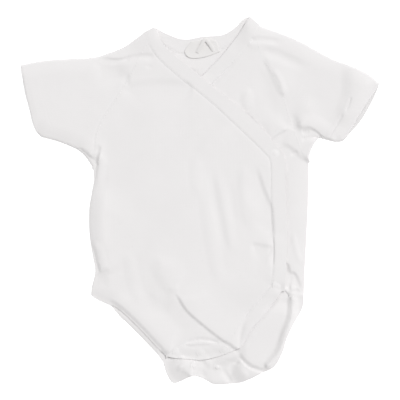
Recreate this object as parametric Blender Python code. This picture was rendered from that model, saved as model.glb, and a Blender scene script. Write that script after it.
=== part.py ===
"""Baby's short-sleeved wrap bodysuit in white cotton, laid flat with its crotch unfastened.

Each piece that is cut and sewn is a closed solid: a wall of cloth between an underside and a top side. The
plan of every piece is measured in millimetres on a square laying-out board, across from the board's left edge
and down from its top edge. Heights come from how the layers lie on each other, roll and fold.
"""

from collections import namedtuple

import bmesh
import bpy
import numpy as np
from mathutils import Matrix, Vector
from mathutils.geometry import delaunay_2d_cdt

MM = 0.001

# Driving dimensions, in millimetres
BOARD = 400.0  # side of the laying-out board; the part's origin is under its centre
WALL = 1.3  # single jersey
BAND_WALL = 2.0  # binding folded double
SEAM_GAP = 0.3  # between pieces that meet at a seam
LAYER_GAP = 0.5  # between layers that lie on each other
EDGE_TOP = 2 * WALL + SEAM_GAP  # height where front and back meet at the garment's edge
RISE = 2.2  # how much higher the front lies away from the edge
ROLL = 16.0  # distance over which it rises
WRAP_LIFT = WALL + LAYER_GAP + 0.6  # extra height of the outer front over the inner one
WRAP_REACH = 45.0  # distance over which that extra height fades outside the inner front
FINE, PLAIN, COARSE = 8.0, 10.0, 22.0  # mesh steps: folded cloth, smooth cloth, flat hidden cloth
BAND_ROWS = 3  # mesh points across a binding

# Snap profiles, as (radius, height) up the side and over the top
SNAP_TURNS = 14  # flats round a snap
SNAP_CAP = ((5.0, 0.0), (5.0, 0.9), (4.4, 1.5), (3.3, 1.7), (2.6, 1.4))
SNAP_STUD = ((4.5, 0.0), (4.5, 0.7), (2.4, 0.9), (2.1, 1.4), (2.1, 2.3), (1.5, 2.6))

# Sleeves: shares from the top fold to the underarm, and from the raglan seam to the cuff
SLEEVE_ROWS = (0, 0.03, 0.1, 0.19, 0.28, 0.37, 0.46, 0.55, 0.64, 0.73, 0.82, 0.9, 0.97, 1)
SLEEVE_COLUMNS = (0, 0.1, 0.2, 0.31, 0.42, 0.53, 0.64, 0.75, 0.84, 0.87, 0.93, 1)
SLEEVE_HOLLOW = 3.8  # most room inside a sleeve
SLEEVE_FOLD = (0.6, 2.1)  # low and high side of the rounded folds along a sleeve
HEM_START = 0.86  # share from which the sleeve's hem is turned up
HEM_STEP = 0.5  # how much the hem's second layer stands up
CUFF_PEEK = 4.5  # most that the left cuff's back layer shows past its front layer

# The shoulder points, where the bindings turn over, how much they stand up there and how far around
NECK_POINTS = ((153.0, 30.0), (251.0, 20.0))
NECK_TURN = 1.3
NECK_TURN_REACH = 30.0

SETTLE = 0.2  # softness where the outer front comes down on the back
TURNED_LIFT = 0.4  # the turned-under binding's height over the back's binding
PATCH_WALL = 1.0
LOOP_WALL = 1.0
LOOP_WIDTH = 3.8
LOOP_RISE = 1.6
LOOP_PATH = ((196.5, 52), (203, 42.5), (210.5, 50.5))

# Edges of the pieces, as (across, down) on the board. Each is a smooth curve through its points.
EDGES = {
    "neck_top_right": ((144, 32.3), (147, 40)),
    "neck_top_left": ((260, 25), (256.5, 34)),
    "shoulder_right": ((144, 32.3), (136, 38), (124, 46.5), (108, 53), (94, 57.2), (76, 58.2), (56, 59.2),
                       (36, 61.5), (20, 65)),
    "cuff_right": ((20, 65), (25, 92.5), (29, 108), (33, 124), (37, 133)),
    "underarm_right": ((93.5, 170), (90, 163), (85, 156), (78, 149.8), (66, 144.3), (54, 140.2), (42, 137),
                       (37, 133)),
    "raglan_right": ((147, 40), (127, 78), (113, 101), (102, 118), (95.5, 133), (93.8, 150), (93.5, 170)),
    "side_right": ((93.5, 170), (93.9, 180), (91.8, 192), (89.3, 207), (89, 222), (89.8, 238), (92.4, 254),
                   (95.2, 271), (92, 286), (91, 295)),
    "shoulder_left": ((260, 25), (268, 28.2), (284, 34), (300, 41), (316, 49.6), (332, 58.4), (348, 64.3),
                      (360, 69), (372, 76), (380, 83.5)),
    "cuff_left": ((380, 83.5), (374, 93), (363.5, 108.5), (354, 124.5), (343.5, 141)),
    "underarm_left": ((308.8, 162), (309.6, 156), (312.2, 148.5), (316, 141.5), (319.5, 138), (324, 139),
                      (332, 141.3), (338, 142), (343.5, 141)),
    "raglan_left": ((256.5, 34), (264, 57), (276, 77), (284, 95), (291, 118), (300, 143), (308.8, 162)),
    "side_left": ((308.8, 162), (308.8, 180), (308.2, 207), (307, 232), (305.8, 255), (304.8, 275),
                  (304.3, 291)),
    "back_neck": ((154, 27), (158, 28.6), (164, 32.1), (172, 35.5), (180, 38.3), (188, 38.8), (196, 37.4),
                  (204, 36), (220, 35), (228, 32), (236, 26.3), (243, 19), (249.5, 16.2)),
    "back_neck_seam": ((147, 40), (158, 42.5), (168, 48.5), (178, 53.5), (190, 54), (204, 51.5), (220, 50.5),
                       (234, 45), (246, 36), (256.5, 34)),
    "outer_neck_seam": ((147, 40), (149, 46), (158.5, 59.5), (179, 78), (207, 100), (240, 130), (256, 145.5),
                        (268.5, 158)),
    "outer_neck_edge": ((154, 27), (158, 33), (161.5, 41.5), (170, 51.5), (184, 62.5), (210, 84.8),
                        (247, 114), (266, 133), (273, 143)),
    "side_seam": ((268.5, 158), (270.5, 168), (270.5, 205), (272.8, 240), (272.8, 262), (270.5, 285)),
    "side_edge": ((273, 143), (280, 150), (285, 163), (285.5, 200), (287, 240), (286, 262), (285, 291)),
    "leg_front_seam": ((270.5, 285), (262, 296), (248, 312), (238, 324), (229, 339)),
    "leg_front_edge": ((285, 291), (281, 292), (275, 301), (260, 320), (252, 329), (240, 348)),
    "inner_neck_seam": ((256.5, 34), (246, 50), (227, 70), (215, 82.5), (195, 103), (172, 128), (158, 150)),
    "inner_neck_edge": ((249.5, 16.2), (240, 32), (222, 55), (200.5, 77), (182, 93), (160, 117),
                        (145, 141)),
    "inner_hem": ((304.3, 291), (297, 291.5), (289, 296), (250, 290), (200, 282), (160, 272)),
    "inner_hidden": ((160, 272), (155, 210), (158, 150)),
    "front_leg": ((92, 294.3), (98, 297.5), (109.5, 303.8), (118.5, 308.7), (137, 326), (156, 346.3),
                  (166, 356.5)),
    "crotch_seam": ((166, 356.5), (174, 349), (184, 343.8), (200, 340.5), (216, 341.8), (229, 339)),
    "crotch_edge": ((166, 356.5), (174, 358), (190, 359.3), (200, 360.3), (210, 358.8), (219, 356.5),
                    (228, 353), (240, 348)),
    "back_leg_right": ((91, 295), (96, 298.8), (108, 304.7), (120, 316.5), (132, 328), (150, 346.5),
                       (157, 354), (163, 362)),
    "back_leg_right_seam": ((96, 280), (104, 288), (120, 297), (138, 313), (160, 338), (170, 350),
                            (173, 361)),
    "back_leg_left": ((304.3, 291), (302.6, 308), (293.7, 324), (286.2, 340), (283.7, 349), (277, 363.5),
                      (270, 369.8), (262, 373.3), (252, 378.5)),
    "back_leg_left_seam": ((289, 296), (290, 310), (286, 328), (278, 348), (271, 358), (262, 365),
                           (249, 367)),
    "flap_seam": ((173, 361), (182, 357.5), (192, 356), (204, 356.5), (216, 358.5), (230, 361), (249, 367)),
    "flap_edge": ((163, 362), (165.6, 371), (169.4, 379.5), (174, 383.5), (181, 381.5), (191, 376.8),
                  (199, 377.2), (207, 381), (215, 384.8), (228, 384.2), (240, 383.2), (252, 378.5)),
    "turned_leg": ((113, 305.8), (119, 309.8), (137, 326.9), (148, 338.5), (157, 348.8)),
    "turned_leg_seam": ((121, 299), (128, 303), (139, 313), (158, 330), (168, 343)),
    "patch_edge": ((191, 41.5), (187, 46), (184.5, 51.5), (188, 57), (196, 58.3), (208, 56), (220, 51.5)),
    "patch_top": ((191, 41.5), (205, 40), (216, 41), (220, 51.5)),
}

# The garment's silhouette, edge by edge, going round; -1 walks an edge backwards
SILHOUETTE = (
    ("shoulder_right", 1), ("cuff_right", 1), ("underarm_right", -1), ("side_right", 1),
    ("back_leg_right", 1), ("flap_edge", 1), ("back_leg_left", -1), ("side_left", -1), ("underarm_left", 1),
    ("cuff_left", -1), ("shoulder_left", -1), ("back_neck", -1),
)

# A fold raises cloth along a path, or lowers it with a negative height. left and right are how far it
# spreads to each side, walking along the path; a narrow side is a steep face. Ends die away over the fade.
Fold = namedtuple("Fold", "name height left right fade path")

OUTER_FOLDS = (
    Fold("hip pleat", 3.0, 42, 3.5, (20, 1),
         ((173, 289), (179.5, 296.5), (188.5, 310), (206, 325.5), (225, 340), (240, 349))),
    Fold("hip pleat's lead", 1.4, 24, 12, (14, 14), ((146, 260), (153, 275), (162, 290), (172, 298))),
    Fold("leg edge stands on its turned binding", 2.9, 26, 12, (12, 4),
         ((100, 298), (112, 305), (130, 320), (150, 337), (168, 359))),
    Fold("leg band over the back", 1.0, 20, 16, (6, 4), ((280, 292), (262, 316), (246, 337), (240, 348))),
    Fold("crotch edge settles", -0.7, 12, 10, (8, 6), ((172, 358), (200, 360), (226, 354))),
    Fold("belly crease", -0.8, 7, 7, (16, 16), ((210, 163), (216, 200), (223, 235), (227, 252))),
    Fold("belly ridge beside it", 0.9, 7, 7, (16, 16), ((216, 172), (222, 200), (227, 225), (232, 255))),
    Fold("long belly ridge", 1.0, 8, 8, (18, 18), ((205, 196), (208.5, 225), (214, 260), (219, 280))),
    Fold("ridge short of the side band", 1.1, 17, 9, (14, 14), ((238, 163), (241, 190), (244, 228))),
    Fold("crease at the side band", -0.8, 4, 11, (10, 12), ((253, 165), (262, 192), (268, 215), (269, 245))),
    Fold("short crease at the side band", -0.7, 4, 3.5, (3, 2), ((252, 244), (262, 246.5), (272, 248))),
    Fold("middle ridge", 0.8, 10, 9, (14, 14), ((198, 150), (196, 170), (199, 200))),
    Fold("slanting chest ridge", 0.8, 12, 12, (16, 16), ((232, 126), (214, 142), (197, 162))),
    Fold("broad belly swell", 0.8, 30, 34, (30, 30), ((184, 160), (186, 200), (184, 245))),
    Fold("waist crease", -1.3, 6, 6, (3, 5), ((97, 268), (103, 276), (111, 284))),
    Fold("underarm crease", -1.3, 5, 4, (7, 4), ((103, 138), (99.5, 150), (98, 164))),
    Fold("shoulder crease", -1.4, 3.5, 3.5, (5, 6), ((103, 59), (120, 60), (135, 56.5), (151, 54.5))),
    Fold("shoulder ridge", 0.9, 4, 5, (10, 6), ((116, 64), (135, 61), (152, 60))),
    Fold("sleeve head valley", -0.9, 9, 9, (12, 6), ((96, 63), (112, 71), (127, 79))),
    Fold("raglan dimple", -1.0, 4, 5, (3, 5), ((127, 73), (127.5, 79), (127, 86))),
    Fold("upper chest crease", -0.8, 9, 5, (12, 8), ((130, 87), (146, 85), (166, 85), (184, 87))),
)

INNER_FOLDS = (
    Fold("raglan ridge", 1.1, 3.5, 10, (6, 10), ((265, 55), (273, 68), (280, 79), (287, 97))),
    Fold("shoulder crease", -1.2, 4, 3.5, (4, 8), ((251, 41), (262, 39.5), (277, 42))),
    Fold("shoulder ridge", 0.8, 4, 5, (5, 8), ((250, 46), (262, 45), (277, 47))),
    Fold("sleeve head valley", -0.7, 7, 8, (8, 12), ((264, 51), (280, 57), (304, 67))),
    Fold("cuff ridge", 1.2, 15, 12, (8, 10), ((354, 72), (352, 92), (346, 113), (338, 132))),
    Fold("sleeve ridge", 1.4, 11, 14, (6, 10), ((301, 122), (310, 108), (321, 92))),
    Fold("underarm overhang", 1.7, 15, 3, (5, 8),
         ((294, 129), (303, 127.5), (311, 128), (318, 132), (325, 138), (337, 141))),
    Fold("chest edge over the armpit", 1.6, 16, 3, (5, 3), ((270, 141), (277, 133), (287, 127))),
    Fold("armpit hollow", -1.2, 15, 3, (6, 4), ((276, 143), (288, 146.5), (297, 153), (306, 161))),
    Fold("chest swell", 0.9, 9, 8, (6, 8), ((247, 90), (246, 110))),
    Fold("hip crease beside the band", -0.8, 3.5, 3.5, (5, 3), ((288, 266), (290, 278), (289, 293))),
    Fold("hip crease to the seam", -0.9, 5, 3, (5, 3), ((294, 268), (298, 281), (301, 290))),
)

BACK_FOLDS = (
    Fold("seat swell", 3.0, 11, 28, (10, 10), ((284, 302), (280, 318), (270, 337), (258, 352))),
    Fold("seat's lower edge", 2.2, 18, 3, (4, 4), ((238, 354), (247, 361), (256, 366), (264, 366))),
    Fold("left binding curls up", 2.4, 7, 7, (8, 12),
         ((296, 300), (295, 310), (289, 327), (282, 345), (276, 360), (264, 370))),
    Fold("flap's right-hand lobe", 2.6, 5, 13, (5, 5), ((174, 360), (177, 368), (179, 377))),
    Fold("flap's middle edge", 1.8, 13, 2.5, (4, 6), ((179, 367.5), (187, 372), (193, 375))),
    Fold("flap ridge", 1.0, 4, 5, (3, 3), ((207, 360), (212, 368))),
    Fold("flap swell at the stud", 1.0, 10, 10, (5, 5), ((214, 369), (221, 368))),
    Fold("flap's hem roll", 1.3, 9, 6, (6, 10), ((206, 378), (217, 381), (236, 380))),
    Fold("flap's left-hand swell", 1.2, 9, 9, (4, 6), ((231, 373), (240, 375), (250, 373))),
)

# Snap fasteners: name, place on the board, half's shape, the cloth it sits on
Snap = namedtuple("Snap", "name across down profile cloth")
SNAPS = (
    Snap("snap_chest", 275.0, 153.5, SNAP_CAP, "outer"),
    Snap("snap_hip", 276.5, 285.5, SNAP_CAP, "outer"),
    Snap("snap_crotch_right", 177.0, 352.5, SNAP_CAP, "outer"),
    Snap("snap_crotch_middle", 200.5, 352.5, SNAP_CAP, "outer"),
    Snap("snap_crotch_left", 224.0, 350.0, SNAP_CAP, "outer"),
    Snap("snap_stud_right", 194.0, 366.0, SNAP_STUD, "back"),
    Snap("snap_stud_middle", 217.0, 367.5, SNAP_STUD, "back"),
)

COLOURS = {
    "jersey": ((0.86, 0.86, 0.86), 0.85),
    "binding": ((0.88, 0.88, 0.88), 0.8),
    "snap": ((0.93, 0.93, 0.92), 0.35),
    "tape": ((0.8, 0.8, 0.78), 0.7),
}


def board(points):
    """Board millimetres to the part's own millimetres, as an array of (x, y)."""
    points = np.asarray(points, float)
    return np.stack([points[:, 0] - BOARD / 2, BOARD / 2 - points[:, 1]], axis=1)


def smooth_curve(points, step):
    """Even points along a Catmull-Rom curve through the given ones, about step apart."""
    points = np.asarray(points, float)
    ends = np.vstack([2 * points[0] - points[1], points, 2 * points[-1] - points[-2]])
    shares = np.linspace(0, 1, 12, endpoint=False)[:, None]
    dense = []
    for before, start, end, after in zip(ends[:-3], ends[1:-2], ends[2:-1], ends[3:]):
        pull_in, pull_out = (end - before) / 2, (after - start) / 2
        s, s2, s3 = shares, shares**2, shares**3
        dense.append((2 * s3 - 3 * s2 + 1) * start + (s3 - 2 * s2 + s) * pull_in
                     + (3 * s2 - 2 * s3) * end + (s3 - s2) * pull_out)
    dense = np.vstack(dense + [points[-1:]])
    return resample(dense, max(2, round(length_of(dense) / step) + 1))


def length_of(line):
    return np.linalg.norm(np.diff(line, axis=0), axis=1).sum()


def at_shares(line, shares):
    """Points at the given shares of a line's length."""
    run = np.concatenate([[0], np.cumsum(np.linalg.norm(np.diff(line, axis=0), axis=1))])
    at = np.asarray(shares) * run[-1]
    return np.stack([np.interp(at, run, line[:, 0]), np.interp(at, run, line[:, 1])], axis=1)


def resample(line, count):
    """count points at even distances along a line of points."""
    return at_shares(line, np.linspace(0, 1, count))


def edge(name, step=FINE):
    """A named edge as points about step apart, or two joined by +. A raglan seam keeps the sleeve's rows."""
    if "+" in name:
        first, second = name.split("+")
        return np.vstack([edge(first, step), edge(second, step)[1:]])
    if name.startswith("raglan"):
        rows = np.array(SLEEVE_ROWS[1:])
        return at_shares(smooth_curve(board(EDGES[name]), 2.0), (rows - rows[0]) / (1 - rows[0]))
    return smooth_curve(board(EDGES[name]), step)


def loop(parts, step=FINE):
    """An anticlockwise outline of named edges. A pair's second value is -1 to walk its edge backwards."""
    points = []
    for name, way in parts:
        line = edge(name, step)[::way]
        if points and np.linalg.norm(points[-1] - line[0]) < 0.5:
            line = line[1:]
        points.extend(line)
    if np.linalg.norm(points[0] - points[-1]) < 0.5:
        points.pop()
    points = np.array(points)
    following = np.roll(points, -1, axis=0)
    area = (points[:, 0] * following[:, 1] - following[:, 0] * points[:, 1]).sum()
    return points if area > 0 else points[::-1]


def leftward(run):
    """Unit vectors at right angles to the given ones, to their left."""
    return np.stack([-run[:, 1], run[:, 0]], axis=1) / np.linalg.norm(run, axis=1)[:, None]


def inset(outline, distance):
    """The outline moved inwards, corner by corner."""
    before = outline - np.roll(outline, 1, axis=0)
    after = np.roll(outline, -1, axis=0) - outline
    normals = [leftward(run) for run in (before, after)]
    middle = normals[0] + normals[1]
    middle /= np.maximum(np.linalg.norm(middle, axis=1), 1e-6)[:, None]
    cosine = np.maximum((middle * normals[0]).sum(axis=1), 0.5)
    return outline + middle * (distance / cosine)[:, None]


def along(points, line):
    """For each point: its distance from a line, its side (left is positive), and how far along it is."""
    best = np.full(len(points), np.inf)
    side = np.ones(len(points))
    run = np.zeros(len(points))
    passed = 0.0
    for start, end in zip(line[:-1], line[1:]):
        step = end - start
        size = np.linalg.norm(step)
        away = points - start
        share = np.clip(away @ step / size**2, 0, 1)
        distance = np.linalg.norm(away - share[:, None] * step, axis=1)
        closer = distance < best
        cross = step[0] * away[:, 1] - step[1] * away[:, 0]
        best = np.where(closer, distance, best)
        side = np.where(closer, np.where(cross >= 0, 1, -1), side)
        run = np.where(closer, passed + share * size, run)
        passed += size
    return best, side, run


def inside(points, outline):
    """Whether each point lies inside a closed outline."""
    found = np.zeros(len(points), bool)
    for (x0, y0), (x1, y1) in zip(outline, np.roll(outline, -1, axis=0)):
        if y0 == y1:
            continue
        crosses = (points[:, 1] > min(y0, y1)) & (points[:, 1] <= max(y0, y1))
        found ^= crosses & (points[:, 0] < x0 + (points[:, 1] - y0) * (x1 - x0) / (y1 - y0))
    return found


def ease(share):
    """0 to 1 with no kink at either end."""
    share = np.clip(share, 0, 1)
    return share * share * (3 - 2 * share)


def fold_height(points, folds):
    """The sum of the folds' heights at each point."""
    total = np.zeros(len(points))
    for fold in folds:
        line = smooth_curve(board(fold.path), 4.0)
        distance, side, run = along(points, line)
        spread = np.where(side > 0, fold.left, fold.right)
        bell = np.clip(1 - (distance / spread) ** 2, 0, 1) ** 2
        first, last = ease(run / fold.fade[0] + 0.15), ease((length_of(line) - run) / fold.fade[1] + 0.15)
        total += fold.height * bell * first * last
    return total


SILHOUETTE_LINE = loop(SILHOUETTE, 4.0)
INNER_SIDES = (("raglan_left", 1), ("side_left", 1), ("inner_hem", 1), ("inner_hidden", 1))
INNER_LAYER = loop((*INNER_SIDES, ("inner_neck_edge", -1)), 6.0)


def closed(outline):
    return np.vstack([outline, outline[:1]])


def front_height(points):
    """Top of a single front layer: low at the garment's edge, rolling up to its full height."""
    distance = along(points, closed(SILHOUETTE_LINE))[0]
    share = np.clip(distance / ROLL, 0, 1)
    return EDGE_TOP + RISE * (1 - (1 - share) ** 2)


def neck_lift(points):
    """Extra height where the bindings turn over at the two shoulder points."""
    total = np.zeros(len(points))
    for peak in board(NECK_POINTS):
        share = np.linalg.norm(points - peak, axis=1) / NECK_TURN_REACH
        total += NECK_TURN * np.clip(1 - share**2, 0, 1) ** 2
    return total


def over_back(form, points):
    """A front layer's top, kept above the back panel with a soft bend where it comes down on it."""
    lowest = back_skin(points) + LAYER_GAP + WALL + SEAM_GAP
    return 0.5 * (form + lowest + np.sqrt((form - lowest) ** 2 + SETTLE))


def inner_skin(points):
    """Top of the inner front and of the left sleeve."""
    return over_back(front_height(points) + neck_lift(points) + fold_height(points, INNER_FOLDS), points)


def outer_skin(points):
    """Top of the outer front and of the right sleeve: the inner front's form wherever that lies beneath."""
    distance = along(points, closed(INNER_LAYER))[0]
    outside = np.where(inside(points, INNER_LAYER), 0, distance)
    cover = ease(1 - outside / WRAP_REACH)
    form = front_height(points) + neck_lift(points) + cover * (WRAP_LIFT + fold_height(points, INNER_FOLDS))
    return over_back(form + fold_height(points, OUTER_FOLDS), points)


def back_skin(points):
    """Top of the back panel, which lies on the ground but for the folds of its seat and flap."""
    return WALL + np.maximum(fold_height(points, BACK_FOLDS), 0)


def finish(name, mesh_data, colour):
    """Makes a named object of a bmesh given in millimetres."""
    bmesh.ops.recalc_face_normals(mesh_data, faces=mesh_data.faces)
    mesh = bpy.data.meshes.new(name)
    mesh_data.to_mesh(mesh)
    mesh_data.free()
    mesh.shade_smooth()
    mesh.set_sharp_from_angle(angle=0.9)
    mesh.materials.append(material(colour))
    piece = bpy.data.objects.new(name, mesh)
    bpy.context.collection.objects.link(piece)
    return piece


def material(colour):
    """The cloth or plastic a piece is made of."""
    found = bpy.data.materials.get(colour)
    if found:
        return found
    (red, green, blue), roughness = COLOURS[colour]
    made = bpy.data.materials.new(colour)
    made.use_nodes = True
    shader = made.node_tree.nodes["Principled BSDF"]
    shader.inputs["Base Color"].default_value = (red, green, blue, 1.0)
    shader.inputs["Roughness"].default_value = roughness
    shader.inputs["Metallic"].default_value = 0.0
    return made


def grid_points(outline, step):
    """Points in even triangles inside an outline, clear of its edge. step may depend on the place."""
    low, high = outline.min(axis=0), outline.max(axis=0)
    row = step * 0.866
    points = []
    for j, y in enumerate(np.arange(low[1] + row / 2, high[1], row)):
        shift = (j % 2) * step / 2
        points += [(x, y) for x in np.arange(low[0] + shift, high[0], step)]
    points = np.array(points)
    keep = inside(points, outline)
    keep[keep] = along(points[keep], closed(outline))[0] > step * 0.55
    return points[keep]


def sheet(name, outline, underside, wall, colour, step=FINE, zones=(), guides=()):
    """One panel: the outline filled with cloth whose underside follows a height function.

    zones are (centre, radius, step) where the mesh is finer; guides are lines that the mesh follows.
    """
    outline = inset(outline, SEAM_GAP / 2)
    points = grid_points(outline, step)
    for centre, radius, zone_step in zones:
        centre = board((centre,))[0]
        points = points[np.linalg.norm(points - centre, axis=1) > radius]
        finer = grid_points(outline, zone_step)
        points = np.vstack([points, finer[np.linalg.norm(finer - centre, axis=1) <= radius]])
    for guide in guides:
        line = smooth_curve(board(guide), FINE)
        line = line[inside(line, outline)]
        line = line[along(line, closed(outline))[0] > 1.5]
        points = points[along(points, line)[0] > step * 0.4]
        points = np.vstack([points, line])
    corners = len(outline)
    plan = [Vector(p) for p in np.vstack([outline, points])]
    verts, _, faces, *_ = delaunay_2d_cdt(plan, [], [list(range(corners))], 1, 1e-4)
    flat = np.array([(v.x, v.y) for v in verts])
    low = underside(flat)
    cloth = bmesh.new()
    bottom = [cloth.verts.new((x, y, z)) for (x, y), z in zip(flat, low)]
    top = [cloth.verts.new((x, y, z + wall)) for (x, y), z in zip(flat, low)]
    rims = {}
    for face in faces:
        cloth.faces.new([top[i] for i in face])
        cloth.faces.new([bottom[i] for i in reversed(face)])
        for a, b in zip(face, face[1:] + face[:1]):
            if (b, a) in rims:
                del rims[(b, a)]
            else:
                rims[(a, b)] = True
    for a, b in rims:
        cloth.faces.new([top[b], top[a], bottom[a], bottom[b]])
    for vert in [v for v in cloth.verts if not v.link_faces]:
        cloth.verts.remove(vert)
    return finish(name, cloth, colour)


def strip(name, first, second, underside, step=FINE):
    """A binding folded double: rows of points from its seam to its free edge, with both ends cut."""
    steps = max(2, round(max(length_of(edge(first, 2.0)), length_of(edge(second, 2.0))) / step) + 1)
    seam, free = (resample(edge(e, 2.0), steps) for e in (first, second))
    across = free - seam
    across /= np.maximum(np.linalg.norm(across, axis=1), 1e-6)[:, None]
    seam, free = seam + across * SEAM_GAP / 2, free - across * SEAM_GAP / 2
    rows = np.array([seam + (free - seam) * share for share in np.linspace(0, 1, BAND_ROWS)])
    for end, into in ((0, 1), (-1, -2)):
        inwards = rows[:, into] - rows[:, end]
        inwards /= np.linalg.norm(inwards, axis=1)[:, None]
        rows[:, end] += inwards * SEAM_GAP / 2
    low = underside(rows.reshape(-1, 2)).reshape(BAND_ROWS, steps)
    cloth = bmesh.new()
    layers = [
        [[cloth.verts.new((*rows[i, j], low[i, j] + height)) for j in range(steps)] for i in range(BAND_ROWS)]
        for height in (0.0, BAND_WALL)
    ]
    for layer in layers:
        for i in range(BAND_ROWS - 1):
            for j in range(steps - 1):
                cloth.faces.new([layer[i][j], layer[i][j + 1], layer[i + 1][j + 1], layer[i + 1][j]])
    bottom, top = layers
    around = [(0, j) for j in range(steps)] + [(i, steps - 1) for i in range(1, BAND_ROWS)]
    around += [(BAND_ROWS - 1, j) for j in range(steps - 2, -1, -1)]
    around += [(i, 0) for i in range(BAND_ROWS - 2, 0, -1)]
    for (i, j), (k, m) in zip(around, around[1:] + around[:1]):
        cloth.faces.new([bottom[i][j], bottom[k][m], top[k][m], top[i][j]])
    return finish(name, cloth, "binding")


def patch_between(top, bottom, start, end, rows, columns):
    """Points between four edges, at the shares of rows from top to bottom and of columns from start to end.

    The first row starts where the top edge does, and the others start on the start edge.
    """
    upper, lower = (at_shares(edge(e, 2.0), columns) for e in (top, bottom))
    shares = np.array(columns)[None, :, None]
    rows = np.array(rows)
    first, last = np.vstack([upper[:1], edge(start)]), at_shares(edge(end, 2.0), rows)
    down = rows[:, None, None]
    first[0], first[-1], last[0], last[-1] = upper[0], lower[0], upper[-1], lower[-1]
    corners = ((1 - down) * (1 - shares) * upper[0] + (1 - down) * shares * upper[-1]
               + down * (1 - shares) * lower[0] + down * shares * lower[-1])
    blend = (1 - down) * upper[None] + down * lower[None]
    return blend + (1 - shares) * first[:, None] + shares * last[:, None] - corners


def sleeve(name, arm, skin, peek):
    """A flattened tube, open at the raglan seam and at the cuff: a ring of wall for each column of points."""
    edges = (f"{part}_{arm}" for part in ("shoulder", "underarm", "raglan", "cuff"))
    plan = patch_between(*edges, SLEEVE_ROWS, SLEEVE_COLUMNS)
    rows, columns = plan.shape[:2]
    away = leftward(np.gradient(plan[:, 0], axis=0))
    plan[:, 0] += away * np.sign((away * (plan[:, 1] - plan[:, 0])).sum()) * SEAM_GAP
    under = plan.copy()
    cuff = plan[:, -1] - plan[:, -2]
    reach = peek * np.sin(np.pi * np.array(SLEEVE_ROWS))
    under[:, -1] += cuff / np.linalg.norm(cuff, axis=1)[:, None] * reach[:, None]
    top = skin(plan.reshape(-1, 2)).reshape(rows, columns)
    top = np.minimum(top, 2 * WALL + SLEEVE_HOLLOW)
    ceiling = np.maximum(top - WALL, WALL + SEAM_GAP)
    top[:, np.array(SLEEVE_COLUMNS) > HEM_START] += HEM_STEP
    bottom = np.zeros((rows, columns))
    bottom[[0, -1]], top[[0, -1]] = SLEEVE_FOLD
    ceiling[[0, -1]] = WALL + SEAM_GAP
    hollow_over, hollow_under = plan.copy(), under.copy()
    for grid in (hollow_over, hollow_under):
        for here, inward in ((0, 2), (-1, -3)):
            step = grid[inward] - grid[here]
            grid[here] += step / np.linalg.norm(step, axis=1)[:, None] * WALL
    tube = bmesh.new()
    rings = []
    for j in range(columns):
        outer = [(*plan[i, j], top[i, j]) for i in range(rows)]
        outer += [(*under[i, j], bottom[i, j]) for i in range(rows)][::-1]
        inner = [(*hollow_over[i, j], ceiling[i, j]) for i in range(rows)]
        inner += [(*hollow_under[i, j], WALL) for i in range(rows)][::-1]
        rings.append([[tube.verts.new(p) for p in ring] for ring in (outer, inner)])
    for left, right in zip(rings[:-1], rings[1:]):
        for skin_ring, next_ring in zip(left, right):
            join(tube, skin_ring, next_ring)
    for outer, inner in (rings[0], rings[-1]):
        join(tube, outer, inner)
    return finish(name, tube, "jersey")


def join(mesh_data, ring, other):
    """Faces between two closed rings of the same count."""
    for i in range(len(ring)):
        k = (i + 1) % len(ring)
        mesh_data.faces.new([ring[i], ring[k], other[k], other[i]])


def snap(name, across, down, profile, cloth):
    """One half of a snap fastener, turned from its profile and seated on the binding under it."""
    centre = board(((across, down),))[0]
    turns = np.linspace(0, 2 * np.pi, 16, endpoint=False)
    rim = centre + profile[0][0] * np.stack([np.cos(turns), np.sin(turns)], axis=1)
    under = np.vstack([rim, (rim + centre) / 2, [centre]])
    ground = {"outer": outer_skin, "back": back_skin}[cloth](under) - WALL + BAND_WALL
    seat = ground.max() + SEAM_GAP
    turned = bmesh.new()
    line = [(0.0, profile[0][1]), *profile, (0.0, profile[-1][1])]
    verts = [turned.verts.new((centre[0] + radius, centre[1], seat + height)) for radius, height in line]
    edges = [turned.edges.new(pair) for pair in zip(verts[:-1], verts[1:])]
    bmesh.ops.spin(turned, geom=verts + edges, cent=(*centre, 0), axis=(0, 0, 1), angle=2 * np.pi,
                   steps=SNAP_TURNS, use_merge=True)
    bmesh.ops.remove_doubles(turned, verts=turned.verts, dist=0.001)
    return finish(name, turned, "snap")


def hanger_loop():
    """A tape folded into an inverted V, standing a little off the neck patch."""
    line = smooth_curve(board(LOOP_PATH), 3.0)
    sideways = leftward(np.gradient(line, axis=0)) * LOOP_WIDTH / 2
    low = patch_underside(line) + PATCH_WALL + SEAM_GAP + LOOP_RISE * np.sin(np.linspace(0, np.pi, len(line)))
    tape = bmesh.new()
    rings = []
    for near, far, floor in zip(line - sideways, line + sideways, low):
        section = ((*near, floor), (*far, floor), (*far, floor + LOOP_WALL), (*near, floor + LOOP_WALL))
        rings.append([tape.verts.new(p) for p in section])
    for ring, other in zip(rings[:-1], rings[1:]):
        join(tape, ring, other)
    for ring in (rings[0], rings[-1]):
        tape.faces.new(ring)
    return finish("hanger_loop", tape, "tape")


def outer_underside(points):
    return outer_skin(points) - WALL


def inner_underside(points):
    return inner_skin(points) - WALL


def back_underside(points):
    return back_skin(points) - WALL


def turned_underside(points):
    return np.full(len(points), BAND_WALL + TURNED_LIFT)


def patch_underside(points):
    return np.full(len(points), BAND_WALL + SEAM_GAP)


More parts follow.
